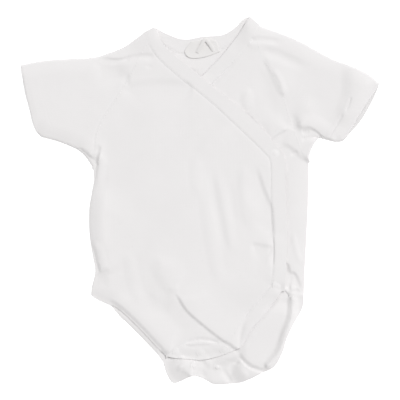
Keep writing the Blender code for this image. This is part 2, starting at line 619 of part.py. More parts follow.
def build():
    """Every piece, from the ground up."""
    for old in list(bpy.data.objects):
        bpy.data.objects.remove(old, do_unlink=True)

    back = loop((("back_neck_seam", 1), ("raglan_left", 1), ("side_left", 1), ("back_leg_left_seam", 1),
                 ("flap_seam", -1), ("back_leg_right_seam", -1), ("side_right", -1), ("raglan_right", -1)))
    sheet("back_panel", back, back_underside, WALL, "jersey", step=COARSE, zones=(((262, 335), 48, FINE),))
    strip("neck_binding_back", "back_neck_seam", "back_neck", back_underside)
    strip("leg_binding_back_right", "back_leg_right_seam", "back_leg_right", back_underside)
    strip("leg_binding_back_left", "back_leg_left_seam", "back_leg_left", back_underside)
    strip("crotch_band_back", "flap_seam", "flap_edge", back_underside, step=5.0)

    sleeve("sleeve_right", "right", outer_skin, 0.0)
    sleeve("sleeve_left", "left", inner_skin, CUFF_PEEK)

    inner = loop((*INNER_SIDES, ("inner_neck_seam", -1)))
    sheet("front_inner", inner, inner_underside, WALL, "jersey", step=PLAIN, zones=(((290, 145), 26, 6.0),))
    strip("neck_binding_inner", "neck_top_left+inner_neck_seam", "inner_neck_edge", inner_underside)

    strip("leg_binding_front_right", "turned_leg_seam", "turned_leg", turned_underside)
    outer = loop((("outer_neck_seam", 1), ("side_seam", 1), ("leg_front_seam", 1), ("crotch_seam", -1),
                  ("front_leg", -1), ("side_right", -1), ("raglan_right", -1)))
    sheet("front_outer", outer, outer_underside, WALL, "jersey", guides=(OUTER_FOLDS[0].path,))
    strip("neck_binding_outer", "neck_top_right+outer_neck_seam", "outer_neck_edge", outer_underside)
    strip("side_binding", "side_seam", "side_edge", outer_underside)
    strip("leg_binding_front_left", "leg_front_seam", "leg_front_edge", outer_underside)
    strip("crotch_band_front", "crotch_seam", "crotch_edge", outer_underside)

    for fastener in SNAPS:
        snap(*fastener)

    patch = loop((("patch_edge", 1), ("patch_top", -1)), 4.0)
    sheet("neck_patch", patch, patch_underside, PATCH_WALL, "tape", step=6.0)
    hanger_loop()

    for piece in bpy.data.objects:
        piece.data.transform(Matrix.Scale(MM, 4))


build()
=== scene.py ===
from collections import namedtuple
from math import pi

import bmesh
import bpy
import numpy as np
from mathutils import Matrix, Vector, noise
from mathutils.geometry import delaunay_2d_cdt


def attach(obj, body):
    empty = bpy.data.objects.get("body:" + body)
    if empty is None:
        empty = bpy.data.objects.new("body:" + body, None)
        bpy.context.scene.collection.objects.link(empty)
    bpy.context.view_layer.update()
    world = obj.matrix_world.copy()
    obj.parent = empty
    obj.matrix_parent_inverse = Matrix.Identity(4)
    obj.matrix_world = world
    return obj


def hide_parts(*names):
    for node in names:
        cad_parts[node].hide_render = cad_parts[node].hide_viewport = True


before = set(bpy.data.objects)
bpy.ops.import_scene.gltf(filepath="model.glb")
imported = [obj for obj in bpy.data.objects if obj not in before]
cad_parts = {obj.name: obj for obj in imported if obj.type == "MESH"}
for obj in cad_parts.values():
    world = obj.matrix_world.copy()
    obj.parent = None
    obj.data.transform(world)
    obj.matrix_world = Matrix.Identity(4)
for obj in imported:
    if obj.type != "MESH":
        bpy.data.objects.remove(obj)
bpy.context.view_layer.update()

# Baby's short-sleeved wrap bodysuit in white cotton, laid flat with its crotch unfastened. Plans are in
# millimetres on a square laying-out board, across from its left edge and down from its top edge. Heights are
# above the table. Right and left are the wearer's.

MM = 0.001
BOARD = 400.0

WALL = 1.3  # single jersey
SEAM_GAP = 0.3
LAYER_GAP = 0.4  # room left between the back panel and what lies on it
EDGE_TOP = 2 * WALL + SEAM_GAP  # height where front and back meet at the garment's edge
RISE = 2.2  # how much higher the front lies away from the edge
ROLL = 16.0  # distance over which it rises
CUFF_START = 0.5  # how far along that rise the right cuff's open edge already is
WRAP_LIFT = 1.9  # extra height of the outer front over the inner one
WRAP_DIP = 0.7  # how far the inner front is pressed down under it
DIP_REACH = 7.0  # distance over which that happens, to either side of the outer front's free edge
WRAP_REACH = 45.0  # distance over which the outer front comes down again beyond the inner one
RIPPLES = ((0.22, 30.0, 0.4), (0.05, 8.0, 2.7))  # unevenness of the fronts: height, size and seed
LOWEST_BACK = -0.6  # deepest that a crease sinks into the back panel
SETTLE = 0.2  # softness where a front comes down on the back
NECK_POINTS = ((153.0, 30.0), (251.0, 20.0))  # where the bindings turn over at the shoulders
NECK_TURN = 1.6
NECK_TURN_REACH = 30.0
TURNED_LIFT = 0.3  # how far the right leg's turned binding lies above two layers
HIP_SETTLE = 4.0  # distance over which the inner front's free corner at the hip comes down
HIP_TOP = 0.5  # height of that corner's top above the back panel's
HIP_SEWN = (9.0, 7.0)  # distances from the hip seam and the back over which the leg binding rises
HIP_UNDER = 0.1  # how far below the inner front's top it ends
PATCH_WALL = 0.55
PATCH_LIFT = 0.23  # room under the neck patch
PATCH_CURL = 0.35  # how much its round edge curls up
PATCH_CURL_REACH = 6.0

FINE = 1.4  # mesh step of cloth that shows
COARSE = 6.0  # and of cloth that lies under another layer
TUCK = 1.5  # how far a panel's edge runs on under what is sewn over it
TUCK_THIN = 0.25  # how much thinner it is there, on each side
EDGE_RINGS = (0.12, 0.35, 0.7, 1.1, 1.6)  # rows of points that round a cut or folded edge
EDGE_ROUND = 1.5
EDGE_CLEAR = 0.45  # least room between those rows and the mesh inside them, in mesh steps
TUCK_SLOPE = 0.8  # distance over which a tucked edge thins
SAME_PLACE = 0.5  # ends of edges that are closer than this are one corner of an outline
ROW_STEP = 0.866  # height of an even triangle with sides of 1
CORNER = 1.0  # angle in radians from which an edge is seen as a corner

# Edges of the pieces, as (across, down) on the board. Each is a smooth curve through its points.
EDGES = {
    "neck_top_right": ((144, 32.3), (147, 40)),
    "neck_top_left": ((260, 25), (256.5, 34)),
    "shoulder_right": ((144, 32.3), (136, 38), (124, 46.5), (108, 53), (94, 57.2), (76, 58.2), (56, 59.2),
        (36, 61.5), (20, 65)),
    "cuff_right": ((20, 65), (25, 92.5), (29, 108), (33, 124), (37, 133)),
    "underarm_right": ((93.5, 170), (90, 163), (85, 156), (78, 149.8), (66, 144.3), (54, 140.2), (42, 137),
        (37, 133)),
    "raglan_right": ((147, 40), (127, 78), (113, 101), (102, 118), (95.5, 133), (93.8, 150), (93.5, 170)),
    "side_right": ((93.5, 170), (93.9, 180), (91.8, 192), (89.3, 207), (89, 222), (89.8, 238), (92.4, 254),
        (95.2, 271), (92, 286), (91, 295)),
    "shoulder_left": ((260, 25), (268, 28.2), (284, 34), (300, 41), (316, 49.6), (332, 58.4), (348, 64.3),
        (360, 69), (372, 76), (380, 83.5)),
    "cuff_left": ((380, 83.5), (374, 93), (363.5, 108.5), (354, 124.5), (343.5, 141)),
    "underarm_left": ((308.8, 162), (309.6, 156), (312.2, 148.5), (316, 141.5), (319.5, 138), (324, 139),
        (332, 141.3), (338, 142), (343.5, 141)),
    "raglan_left": ((256.5, 34), (264, 57), (276, 77), (284, 95), (291, 118), (300, 143), (308.8, 162)),
    "side_left": ((308.8, 162), (308.8, 180), (308.2, 207), (307, 232), (305.8, 255), (304.8, 275),
        (304.3, 291)),
    "back_neck": ((154, 27), (158, 28.6), (164, 32.1), (172, 35.5), (180, 38.3), (188, 38.8), (196, 37.4),
        (204, 36), (220, 35), (228, 32), (236, 26.3), (243, 19), (249.5, 16.2)),
    "back_neck_seam": ((147, 40), (158, 42.5), (168, 48.5), (178, 53.5), (190, 54), (204, 51.5),
        (220, 50.5), (234, 45), (246, 36), (256.5, 34)),
    "outer_neck_seam": ((147, 40), (149, 46), (158.5, 59.5), (179, 78), (207, 100), (240, 130),
        (256, 145.5), (268.5, 158)),
    "outer_neck_edge": ((154, 27), (158, 33), (161.5, 41.5), (170, 51.5), (184, 62.5), (210, 84.8),
        (247, 114), (266, 133), (273, 143)),
    "side_seam": ((268.5, 158), (270.5, 168), (270.5, 205), (272.8, 240), (272.8, 262), (270.5, 285)),
    "side_edge": ((273, 143), (280, 150), (285, 163), (285.5, 200), (287, 240), (286, 262), (285, 291)),
    "leg_front_seam": ((270.5, 285), (262, 296), (248, 312), (238, 324), (229, 339)),
    "leg_front_edge": ((285, 291), (281, 292), (275, 301), (260, 320), (252, 329), (240, 348)),
    "inner_neck_seam": ((256.5, 34), (246, 50), (227, 70), (215, 82.5), (195, 103), (172, 128), (158, 150)),
    "inner_neck_edge": ((249.5, 16.2), (240, 32), (222, 55), (200.5, 77), (182, 93), (160, 117),
        (145, 141)),
    "inner_hem": ((289, 296), (280, 288.5), (250, 281), (200, 276), (160, 272)),
    "hip_seam": ((304.3, 291), (289, 296)),
    "hip_corner": ((276, 286.5), (280, 288.5), (289, 296)),
    "inner_hidden": ((160, 272), (155, 210), (158, 150)),
    "front_leg": ((91.2, 295.2), (96.3, 298.8), (108.3, 304.6), (118.5, 309), (137, 326), (156, 346.3),
        (166, 356.5)),
    "crotch_seam": ((166, 356.5), (174, 349), (184, 343.8), (200, 340.5), (216, 341.8), (229, 339)),
    "crotch_edge": ((166, 356.5), (174, 358), (190, 359.3), (200, 360.3), (210, 358.8), (219, 356.5),
        (228, 353), (240, 348)),
    "back_leg_right": ((92.4, 294.2), (97.2, 297.6), (109.3, 304.6), (120, 316.5), (132, 328), (150, 346.5),
        (157, 354), (163, 362)),
    "back_leg_right_seam": ((96, 280), (104, 288), (120, 297), (138, 313), (160, 338), (170, 350),
        (173, 361)),
    "back_leg_left": ((304.3, 291), (302.6, 308), (293.7, 324), (286.2, 340), (283.7, 349), (277, 363.5),
        (270, 369.8), (262, 373.3), (252, 378.5)),
    "back_leg_left_seam": ((289, 296), (290, 310), (286, 328), (278, 348), (271, 358), (262, 365),
        (249, 367)),
    "flap_seam": ((173, 361), (182, 357.5), (192, 356), (204, 356.5), (216, 358.5), (230, 361), (249, 367)),
    "flap_edge": ((163, 362), (165.6, 371), (169.4, 379.5), (174, 383.5), (181, 381.5), (191, 376.8),
        (199, 377.2), (207, 381), (215, 384.8), (228, 384.2), (240, 383.2), (252, 378.5)),
    "turned_leg": ((113, 305.8), (119, 309.8), (137, 326.9), (148, 338.5), (157, 348.8)),
    "turned_leg_seam": ((121, 299), (128, 303), (139, 313), (158, 330), (168, 343)),
    "patch_edge": ((191, 41.5), (187, 46), (184.5, 51.5), (188, 57), (196, 58.3), (208, 56), (220, 51.5)),
    "patch_top": ((191, 41.5), (205, 40), (216, 41), (220, 51.5)),
}
SILHOUETTE = (
    ("shoulder_right", 1), ("cuff_right", 1), ("underarm_right", -1), ("side_right", 1),
    ("back_leg_right", 1), ("flap_edge", 1), ("back_leg_left", -1), ("side_left", -1), ("underarm_left", 1),
    ("cuff_left", -1), ("shoulder_left", -1), ("back_neck", -1),
)
INNER_SIDES = (("raglan_left", 1), ("side_left", 1), ("hip_seam", 1), ("inner_hem", 1), ("inner_hidden", 1))

# A fold raises cloth along a path, or lowers it with a negative height. left and right are how far it spreads
# to each side, walking along the path, and a narrow side is a steep face. Each end dies away over its length
# in fade.
Fold = namedtuple("Fold", "name height left right fade path")
END_SPREAD = 0.7  # how much slower a fold dies away for each millimetre from its path

# A swell raises the cloth inside an outline by its height, rising over its reach from the outline inwards.
Swell = namedtuple("Swell", "name height reach outline")

OUTER_FOLDS = (
    Fold("hip pleat", 2.1, 42, 3.0, (16, 3),
         ((173, 289), (179.5, 296.5), (188.5, 310), (206, 325.5), (225, 340), (240, 349))),
    Fold("slope under the pleat", 0.8, 42, 20, (6, 16), ((170, 287), (179.5, 298), (189, 311), (206, 326))),
    Fold("hip pleat's lead", 1.4, 24, 15, (16, 6), ((156, 252), (165, 271), (173, 284), (179, 292))),
    Fold("shade beside the pleat", 0.7, 24, 18, (8, 6), ((148, 293), (164, 296), (180, 299))),
    Fold("leg edge stands on its turned binding", 1.7, 26, 16, (14, 4),
         ((108, 296), (122, 305), (140, 320), (158, 338), (172, 353))),
    Fold("leg edge rolls under", -2.0, 5, 5, (14, 4),
         ((104, 300.5), (118.5, 308.7), (137, 326), (156, 346.3), (167, 357.5))),
    Fold("wrap's hip corner settles", -1.2, 9, 9, (5, 5), ((275, 286), (285, 290.5))),
    Fold("leg band settles on the back", -0.5, 14, 14, (8, 8),
         ((280, 292), (262, 316), (246, 337), (240, 348))),
    Fold("crotch edge settles", -1.5, 12, 10, (8, 10), ((172, 358), (200, 360), (228, 353))),
    Fold("crotch edge's dip", -0.8, 6, 6, (5, 5), ((176, 358), (184, 358.8), (193, 359.5))),
    Fold("crotch edge lifts", 0.9, 8, 5, (3, 3), ((195, 359), (203, 360.2), (211, 359))),
    Fold("crotch edge's far dip", -0.9, 7, 7, (6, 6), ((212, 358), (222, 355), (232, 351))),
    Fold("belly crease", -0.45, 7, 8, (24, 20), ((210, 163), (216, 200), (223, 235), (228, 256))),
    Fold("belly ridge beside it", 0.45, 9, 7, (20, 20), ((216, 168), (222, 200), (227, 225), (233, 256))),
    Fold("long belly ridge", 0.6, 10, 9, (26, 24), ((204, 185), (209, 225), (215, 260), (221, 288))),
    Fold("ridge short of the side band", 0.7, 24, 9, (14, 14), ((244, 163), (245, 190), (248, 228))),
    Fold("crease at the side band", -1.5, 5, 20, (20, 16),
         ((254, 163), (260, 186), (266, 201), (269.5, 212), (271, 245))),
    Fold("cloth lifts to the side band", 0.7, 22, 18, (10, 10), ((272, 230), (274, 258), (272, 286))),
    Fold("short crease at the side band", -0.9, 4.5, 24, (4, 1),
         ((250, 245), (262, 247.5), (272.5, 249.5))),
    Fold("side seam pulls in", -0.8, 1.7, 6, (8, 8), ((272.4, 234), (273.2, 250), (272.6, 268))),
    Fold("middle ridge", 0.5, 11, 9, (14, 14), ((198, 150), (196, 170), (199, 200))),
    Fold("crease by the middle ridge", -0.3, 6, 6, (12, 14), ((231, 182), (232, 205), (235, 228))),
    Fold("slanting chest ridge", 0.7, 16, 14, (18, 18), ((232, 126), (214, 142), (197, 162))),
    Fold("broad belly swell", 0.8, 30, 34, (30, 30), ((184, 160), (186, 200), (184, 245))),
    Fold("waist crease", -2.0, 4.5, 10, (8, 4), ((88.7, 243), (92.2, 256), (95.2, 266), (99, 273))),
    Fold("waist crease's end", -0.7, 10, 18, (6, 8), ((95, 272.5), (101, 281), (109, 289))),
    Fold("side stands at the waist", 1.1, 9, 3.0, (8, 3),
         ((95.4, 240), (97.4, 252), (100, 264), (102, 273))),
    Fold("underarm crease", -1.8, 3.2, 9, (6, 3), ((100, 144), (97.5, 154), (95.5, 168))),
    Fold("underarm corner", -1.8, 4.5, 9, (8, 6), ((96.5, 154), (94.5, 163), (93, 182))),
    Fold("sleeve stands over the underarm", 1.9, 26, 3.4, (10, 1.5),
         ((77, 145), (85, 150.5), (92, 157), (99, 164))),
    Fold("side stands beside the underarm", 1.3, 9, 3.2, (8, 12),
         ((101, 151), (99.8, 161), (98.4, 169), (97.4, 180), (96, 191))),
    Fold("underarm rolls under", -1.9, 4.5, 7, (5, 3), ((77, 148.3), (84, 153.5), (90, 159.5), (96, 167))),
    Fold("right side stands at its fold", 0.9, 20, 3.4, (14, 10),
         ((96.8, 180), (92.6, 207), (92.6, 232), (96.5, 256))),
    Fold("shoulder crease", -1.3, 2.2, 6, (4, 5), ((100, 59), (116, 60.2), (131, 58.6))),
    Fold("shoulder crease's end", -0.9, 2.6, 7, (6, 9), ((123, 58.8), (131, 57.4), (141, 56), (158, 56))),
    Fold("shoulder ridge", 0.35, 4, 14, (10, 8), ((116, 63), (135, 61.5), (154, 60.5))),
    Fold("sleeve head valley", -1.5, 15, 26, (10, 12), ((93, 62), (112, 72), (128, 82))),
    Fold("raglan dimple", -0.8, 4, 9, (5, 5), ((125, 72), (127, 79), (127, 87))),
    Fold("upper chest crease", -1.0, 9, 26, (10, 4), ((120, 93), (140, 88), (166, 86.5), (194, 89))),
    Fold("small collar dash", -0.4, 2, 2, (3, 3), ((145, 66.5), (153, 66.5))),
    Fold("right side roll", 1.7, 45, 14, (30, 8),
         ((107, 180), (104, 210), (105, 240), (107, 260), (111, 275))),
    Fold("hip ridge", 0.5, 9, 9, (12, 12), ((128, 250), (133, 280), (141, 305))),
    Fold("pleat's foot crease", -0.6, 2.5, 2.5, (2, 3), ((220, 346), (226, 342), (233, 347))),
    Fold("pleat's foot dimple", -1.1, 2, 2, (1, 1), ((231, 350.5), (234, 350.5))),
    Fold("crotch band's upper pucker", -0.8, 3, 2, (5, 5), ((184, 343), (200, 339.5), (219, 342.5))),
    Fold("crotch band's ridge", 0.5, 2, 2, (5, 6), ((186, 345), (200, 343), (214, 343.5))),
    Fold("crotch band's lower pucker", -0.5, 1.6, 1.6, (5, 6), ((184, 345.8), (198, 346), (213, 344.3))),
)

INNER_FOLDS = (
    Fold("neck edge settles", -1.1, 15, 10, (14, 8), ((246, 23), (240, 32), (222, 55), (200.5, 77))),
    Fold("raglan ridge", 1.1, 20, 6, (8, 8), ((265, 54), (272, 68), (278, 82), (286, 99))),
    Fold("second raglan ridge", 0.7, 6, 2.4, (4, 6), ((273, 70), (279, 81), (285.5, 98))),
    Fold("shoulder crease", -0.8, 3.4, 5, (4, 12), ((249, 40.5), (262, 39.5), (285, 42))),
    Fold("shoulder ridge", 0.5, 4, 8, (5, 12), ((246, 45), (262, 44.5), (280, 46.5))),
    Fold("sleeve head valley", -0.8, 7, 8, (8, 16), ((262, 49), (280, 56), (310, 69))),
    Fold("cuff ridge", 2.1, 22, 14, (8, 16), ((353, 60), (354, 80), (352.5, 98), (346, 113), (340, 127))),
    Fold("hem's dash", -1.0, 1.2, 1.6, (2, 3), ((350.5, 97), (349, 104), (345.5, 112))),
    Fold("hem's lower dash", -0.8, 1.2, 1.6, (2, 4), ((343, 114.5), (335.5, 127), (328.5, 138))),
    Fold("sleeve stands over the armpit", 1.5, 28, 14, (16, 10),
         ((310, 94), (306, 108), (303, 120), (301, 134))),
    Fold("armpit pocket", -1.0, 8, 6, (6, 2), ((297, 114), (294, 122), (294, 131))),
    Fold("underarm overhang", 1.7, 15, 2.4, (6, 7),
         ((296, 128.5), (303, 126.5), (311, 127.2), (318, 131), (325, 137), (338, 141))),
    Fold("chest edge over the armpit", 1.5, 40, 2.2, (3, 6), ((269, 141.8), (277, 134), (290, 127))),
    Fold("armpit fold", 1.3, 40, 5.5, (8, 4),
         ((281, 142), (290, 144), (297.5, 149.5), (303.5, 155.5), (307.5, 158.5))),
    Fold("armpit fold's dimple", -0.9, 2.2, 3, (2, 2), ((290, 155), (294, 153), (298, 151))),
    Fold("underarm crease", -0.9, 1.5, 6, (4, 3), ((300, 138.6), (309, 137.8), (319, 136.8))),
    Fold("underarm line", -0.6, 1.4, 7, (2, 2), ((301, 131.3), (310, 131.3))),
    Fold("chest swell", 1.0, 9, 8, (8, 8), ((248, 86), (246, 112))),
    Fold("chest crease", -0.6, 3, 3, (4, 4), ((244, 111), (251, 119), (258, 127))),
    Fold("long chest trough", -0.5, 10, 12, (12, 12), ((258, 66), (266, 90), (276, 120))),
    Fold("groove beside the side band", -0.4, 4, 2, (14, 20), ((284.6, 164), (285.3, 200), (286, 228))),
    Fold("hip notch", -1.8, 1.6, 2, (1, 3), ((286.6, 263), (286.8, 273))),
    Fold("hip crease beside the band", -1.6, 3.4, 10, (3, 1),
         ((286.5, 264), (287.5, 270), (290, 278), (288, 290), (288, 297))),
    Fold("hip crease to the seam", -1.9, 3.2, 9, (4, 2),
         ((290, 271.5), (294.5, 276), (297.5, 283), (299.5, 289))),
    Fold("hip crease back to the band", -1.5, 2.4, 5, (2, 2), ((288.5, 296), (293, 293), (298.5, 288.5))),
    Fold("strip's ridge", 0.5, 4, 5, (12, 8), ((292, 228), (296, 248), (302, 266))),
)

BACK_FOLDS = (
    Fold("left binding curls up", 3.0, 9, 5.4, (3, 3),
         ((291.5, 295), (292, 308), (290.3, 320), (284.8, 335), (281, 347), (275.5, 357), (265, 368))),
    Fold("left binding's slope", 0.9, 8, 8, (12, 8),
         ((290.5, 316), (284.5, 335), (280.5, 347), (274, 358), (264, 367))),
    Fold("right binding rises under the leg", 1.2, 6, 6, (6, 4),
         ((116, 309), (137, 326.5), (156, 346.8), (162, 353))),
    Fold("side seam stands up at the armpit", 3.6, 5, 34, (6, 6),
         ((318, 137), (313, 146), (309, 156), (308.5, 164))),
    Fold("flap's right-hand lobe", 3.3, 60, 15, (3, 6),
         ((182, 355), (181.5, 366), (187, 371.5), (196, 378))),
    Fold("flap's middle edge", 1.9, 28, 1.8, (2, 3), ((177, 366), (184, 371), (188, 374), (194, 376.5))),
    Fold("flap rises to the seat", 1.5, 1.8, 15, (3, 3),
         ((239, 358.5), (243, 364.5), (249, 369.2), (257, 372.3), (264, 374))),
    Fold("seat runs on into the flap", 3.0, 8, 14, (6, 28),
         ((241, 351), (233, 355.5), (222, 360), (206, 363))),
    Fold("flap ridge", 0.8, 6, 2.4, (3, 3), ((204, 359), (212, 368))),
    Fold("flap swell at the stud", 0.6, 10, 10, (5, 5), ((214, 369), (221, 368))),
    Fold("flap's hem roll", 0.9, 12, 6, (6, 10), ((206, 378), (217, 381), (236, 380))),
    Fold("flap's left-hand swell", 1.2, 9, 9, (4, 6), ((231, 373), (240, 375), (250, 373))),
    Fold("flap's short crease", -1.3, 1.8, 5, (2, 2), ((202, 370), (205.5, 378))),
    Fold("flap's slanting crease", -1.4, 1.8, 6, (2, 3), ((222.5, 370), (227, 375), (231.5, 383))),
    Fold("flap's upper crease", -0.7, 2, 2, (2, 2), ((199, 361), (207, 367))),
    Fold("neck hollow's crease", -0.3, 2, 2, (2, 2), ((188, 69.5), (196, 71.5))),
)

BACK_SWELLS = (
    Swell("seat", 2.1, 5.0, ((258, 287), (272, 283), (284, 284), (294, 290), (304, 291.5), (314, 300),
          (303, 328), (293, 350), (285, 366), (276, 376), (268, 373), (258, 370.5), (250, 367.5),
          (244, 363), (238.5, 356.5), (235, 347), (240, 325))),
    Swell("back puffs up under the fronts", 1.0, 22.0, ((168, 47), (232, 47), (262, 62), (282, 110),
          (288, 160), (288, 225), (278, 262), (180, 262), (112, 240), (108, 160), (132, 72))),
    Swell("hollow under the seat", 2.6, 14.0, ((233, 340), (233.5, 356), (230.5, 367), (233, 378),
          (242, 388), (262, 384), (290, 350), (300, 310), (270, 300), (240, 320))),
)

# How each line of sewing pinches the cloth beside it: depth and half-width of its groove, height of its
# puckers, and the shares of its length between which it does so
Seam = namedtuple("Seam", "edge depth width pucker start end")
PUCKERS = (4.0, 3.1)  # their size along a seam, and their seed. The name's length makes seams differ.
PUCKER_REACH = 4.5  # how far they run out beside it
SEAM_ENDS = 0.08  # share of a seam's length over which its groove dies away
OUTER_SEAMS = (
    Seam("raglan_right", 0.12, 1.0, 0.12, 0.15, 0.95), Seam("outer_neck_seam", 0.2, 1.2, 0.1, 0.02, 1),
    Seam("side_seam", 0.2, 1.2, 0.1, 0, 0.98), Seam("leg_front_seam", 0.5, 0.9, 0.12, 0, 0.62),
    Seam("crotch_seam", 0.15, 1.5, 0.25, 0.25, 0.9),
)
INNER_SEAMS = (
    Seam("raglan_left", 0.12, 1.0, 0.06, 0.25, 0.5), Seam("inner_neck_seam", 0.6, 1.0, 0.08, 0.22, 0.6),
)
BACK_SEAMS = (
    Seam("back_leg_left_seam", 0.3, 2.0, 0.15, 0, 0.85), Seam("back_neck_seam", 0.1, 1.5, 0.06, 0, 0.5),
    Seam("flap_seam", 0.1, 1.5, 0.2, 0, 1), Seam("leg_front_edge", 0.9, 1.7, 0.1, 0.14, 0.97),
)

# Bindings: points across as millimetres from the seam on a 15 mm strip, closest where it bends
BAND_ACROSS = np.array((0, 0.1, 0.3, 0.6, 1.0, 1.5, 2.0, 2.7, 4, 5.5, 7, 8.5, 10, 11.5, 12.8, 13.7, 14.3,
                        14.7, 14.92, 15)) / 15
BAND_PROUD = 0.15  # how far a binding stands above the cloth it is sewn to
BAND_SLOPE = 2.5  # distance from its seam over which it rises to that
BAND_STITCH = 1.6  # sewing line from a binding's seam edge
BAND_RELIEF = 0.1  # height of its puckers and its waver, and depth of its sewing line
BAND_PUCKERS, BAND_WAVER = (3.2, 7.7), (9.0, 1.7)  # size and seed
BAND_ENDS = 8.0  # distance over which both die away towards a binding's ends
SEWN_WIDTH = 0.7  # half-width of the sewing line
RAGLAN_STITCH = 1.8  # sewing line from a raglan seam, on the sleeve
STITCH_LIFT = 0.1  # how far the thread lies above a binding's cloth
STITCH_STEP = 1.5
NARROWEST_SEWN = 4.0  # a binding that shows less than this shows no stitches
TIGHT, SOFT = (0.12, 0.12), (0.4, 0.4)  # radius of a binding's free edge, at its start and at its end
WORN, ROLLED = (0.9, 2.0), (2.8, 0.6)  # the same where it is worn round or rolls over
HEM_DEPTH = 18.0  # turned-up cuff hem
HEM_SLOPE = 1.6  # distance over which the sleeve steps up at it
HEM_SEWN = (1.5, 0.9)  # how far its sewing line lies from the step, and its half-width
HEM_STEPS = {"right": 0.06, "left": 0.3}  # height of that step
CUFF_ROUND = 0.9  # radius of a cuff's edge
SLEEVE_FOLD_ROUND = 2.4  # radius of the folds along a sleeve's top and underarm
SLEEVE_HOLLOW = 5.4  # most room inside a sleeve
SLEEVE_START = 30.0  # distance from the raglan seam over which the sleeve takes up its own height
SLEEVE_ROWS, SLEEVE_COLUMNS = 76, 84  # points from fold to fold, and from the raglan seam to the cuff
SLEEVE_LINING = 0.013  # share of a sleeve's depth that its wall takes up at each fold
FOLD_MIDDLE = 1.4  # height of a sleeve's folds at their outermost
CUFF_PEEKS = {"right": 0.0, "left": 4.5}  # most that a cuff's back layer shows past its front layer
PEEK_START = 0.8  # share of the way to the cuff from which it does

SNAP_SEAT = 0.12  # how far a snap's brim stands above the cloth's skin
SNAP_SIDES = 40
SNAP_SPOKES = 24
SNAP_FOOT = (2.0, 4.0)  # radii of the rings of cloth whose lean a snap takes on

# The hanger loop: its path, width, rise in the middle and gap over the patch at its ends, and its section
# as (share of half its width, height)
LOOP_PATH = ((197, 52.5), (200.8, 46), (205, 39.6), (209.6, 44), (214, 51))
LOOP_WIDTH = 3.6
LOOP_RISE, LOOP_GAP = 1.3, 0.1
LOOP_SECTION = ((-1, 0.3), (-0.85, 0.5), (0, 0.6), (0.85, 0.5), (1, 0.3), (0.85, 0), (-0.85, 0))

# Snaps: place on the board, cap or stud, and the cloth they are set in
Snap = namedtuple("Snap", "node across down half cloth")
SNAPS = (
    Snap("snap_chest", 275.0, 153.5, "cap", "outer"),
    Snap("snap_hip", 276.5, 285.5, "cap", "outer"),
    Snap("snap_crotch_right", 177.0, 352.5, "cap", "outer"),
    Snap("snap_crotch_middle", 200.5, 352.5, "cap", "outer"),
    Snap("snap_crotch_left", 224.0, 350.0, "cap", "outer"),
    Snap("snap_stud_right", 194.0, 366.0, "stud", "back"),
    Snap("snap_stud_middle", 217.0, 367.5, "stud", "back"),
)
# Their profiles, as (radius, height) from the middle out and down into the cloth
SNAP_PROFILES = {
    "cap": ((0, 0.34), (1.0, 0.33), (1.8, 0.29), (2.3, 0.2), (2.7, 0.12), (3.3, 0.1), (4.0, 0.08),
            (4.4, 0.04), (4.6, -0.05), (4.5, -0.3), (0, -0.3)),
    "stud": ((0, 0.8), (0.9, 0.79), (1.5, 0.7), (1.85, 0.52), (1.95, 0.32), (2.3, 0.18), (2.8, 0.13),
             (3.5, 0.1), (4.0, 0.05), (4.2, -0.05), (4.1, -0.3), (0, -0.3)),
}


def board(points):
    """Board millimetres to the garment's own millimetres, as an array of (x, y)."""
    points = np.asarray(points, float)
    return np.stack([points[:, 0] - BOARD / 2, BOARD / 2 - points[:, 1]], axis=1)


def smooth_curve(points, step):
    """Even points along a Catmull-Rom curve through the given ones, about step apart."""
    points = np.asarray(points, float)
    ends = np.vstack([2 * points[0] - points[1], points, 2 * points[-1] - points[-2]])
    s = np.linspace(0, 1, 12, endpoint=False)[:, None]
    dense = []
    for before, start, end, after in zip(ends[:-3], ends[1:-2], ends[2:-1], ends[3:]):
        pull_in, pull_out = (end - before) / 2, (after - start) / 2
        dense.append((2 * s**3 - 3 * s**2 + 1) * start + (s**3 - 2 * s**2 + s) * pull_in
                     + (3 * s**2 - 2 * s**3) * end + (s**3 - s**2) * pull_out)
    dense = np.vstack(dense + [points[-1:]])
    return resample(dense, max(2, round(length_of(dense) / step) + 1))


def length_of(line):
    return np.linalg.norm(np.diff(line, axis=0), axis=1).sum()


def at_shares(line, shares):
    """Points at the given shares of a line's length."""
    run = np.concatenate([[0], np.cumsum(np.linalg.norm(np.diff(line, axis=0), axis=1))])
    at = np.asarray(shares) * run[-1]
    return np.stack([np.interp(at, run, line[:, 0]), np.interp(at, run, line[:, 1])], axis=1)


def resample(line, count):
    return at_shares(line, np.linspace(0, 1, count))


def edge(name, step=FINE):
    """A named edge as points about step apart, or two joined by +."""
    if "+" in name:
        first, second = name.split("+")
        return np.vstack([edge(first, step), edge(second, step)[1:]])
    return smooth_curve(board(EDGES[name]), step)


def loop(parts, step=FINE):
    """An anticlockwise outline of edges (name, way, tuck), and how far each of its points is tucked under."""
    points, tucks = [], []
    for name, way, *tuck in parts:
        line = edge(name, step)[::way]
        if points and np.linalg.norm(points[-1] - line[0]) < SAME_PLACE:
            line = line[1:]
        points.extend(line)
        tucks.extend([tuck[0] if tuck else 0.0] * len(line))
    if np.linalg.norm(points[0] - points[-1]) < SAME_PLACE:
        points.pop()
        tucks.pop()
    points, tucks = np.array(points), np.array(tucks)
    return (points, tucks) if doubled_area(points) > 0 else (points[::-1], tucks[::-1])


def doubled_area(outline):
    """Twice the area inside an outline, negative if it runs clockwise."""
    following = np.roll(outline, -1, axis=0)
    return (outline[:, 0] * following[:, 1] - following[:, 0] * outline[:, 1]).sum()


def leftward(run):
    """Unit vectors at right angles to the given ones, to their left."""
    return np.stack([-run[:, 1], run[:, 0]], axis=1) / np.maximum(np.linalg.norm(run, axis=1), 1e-9)[:, None]


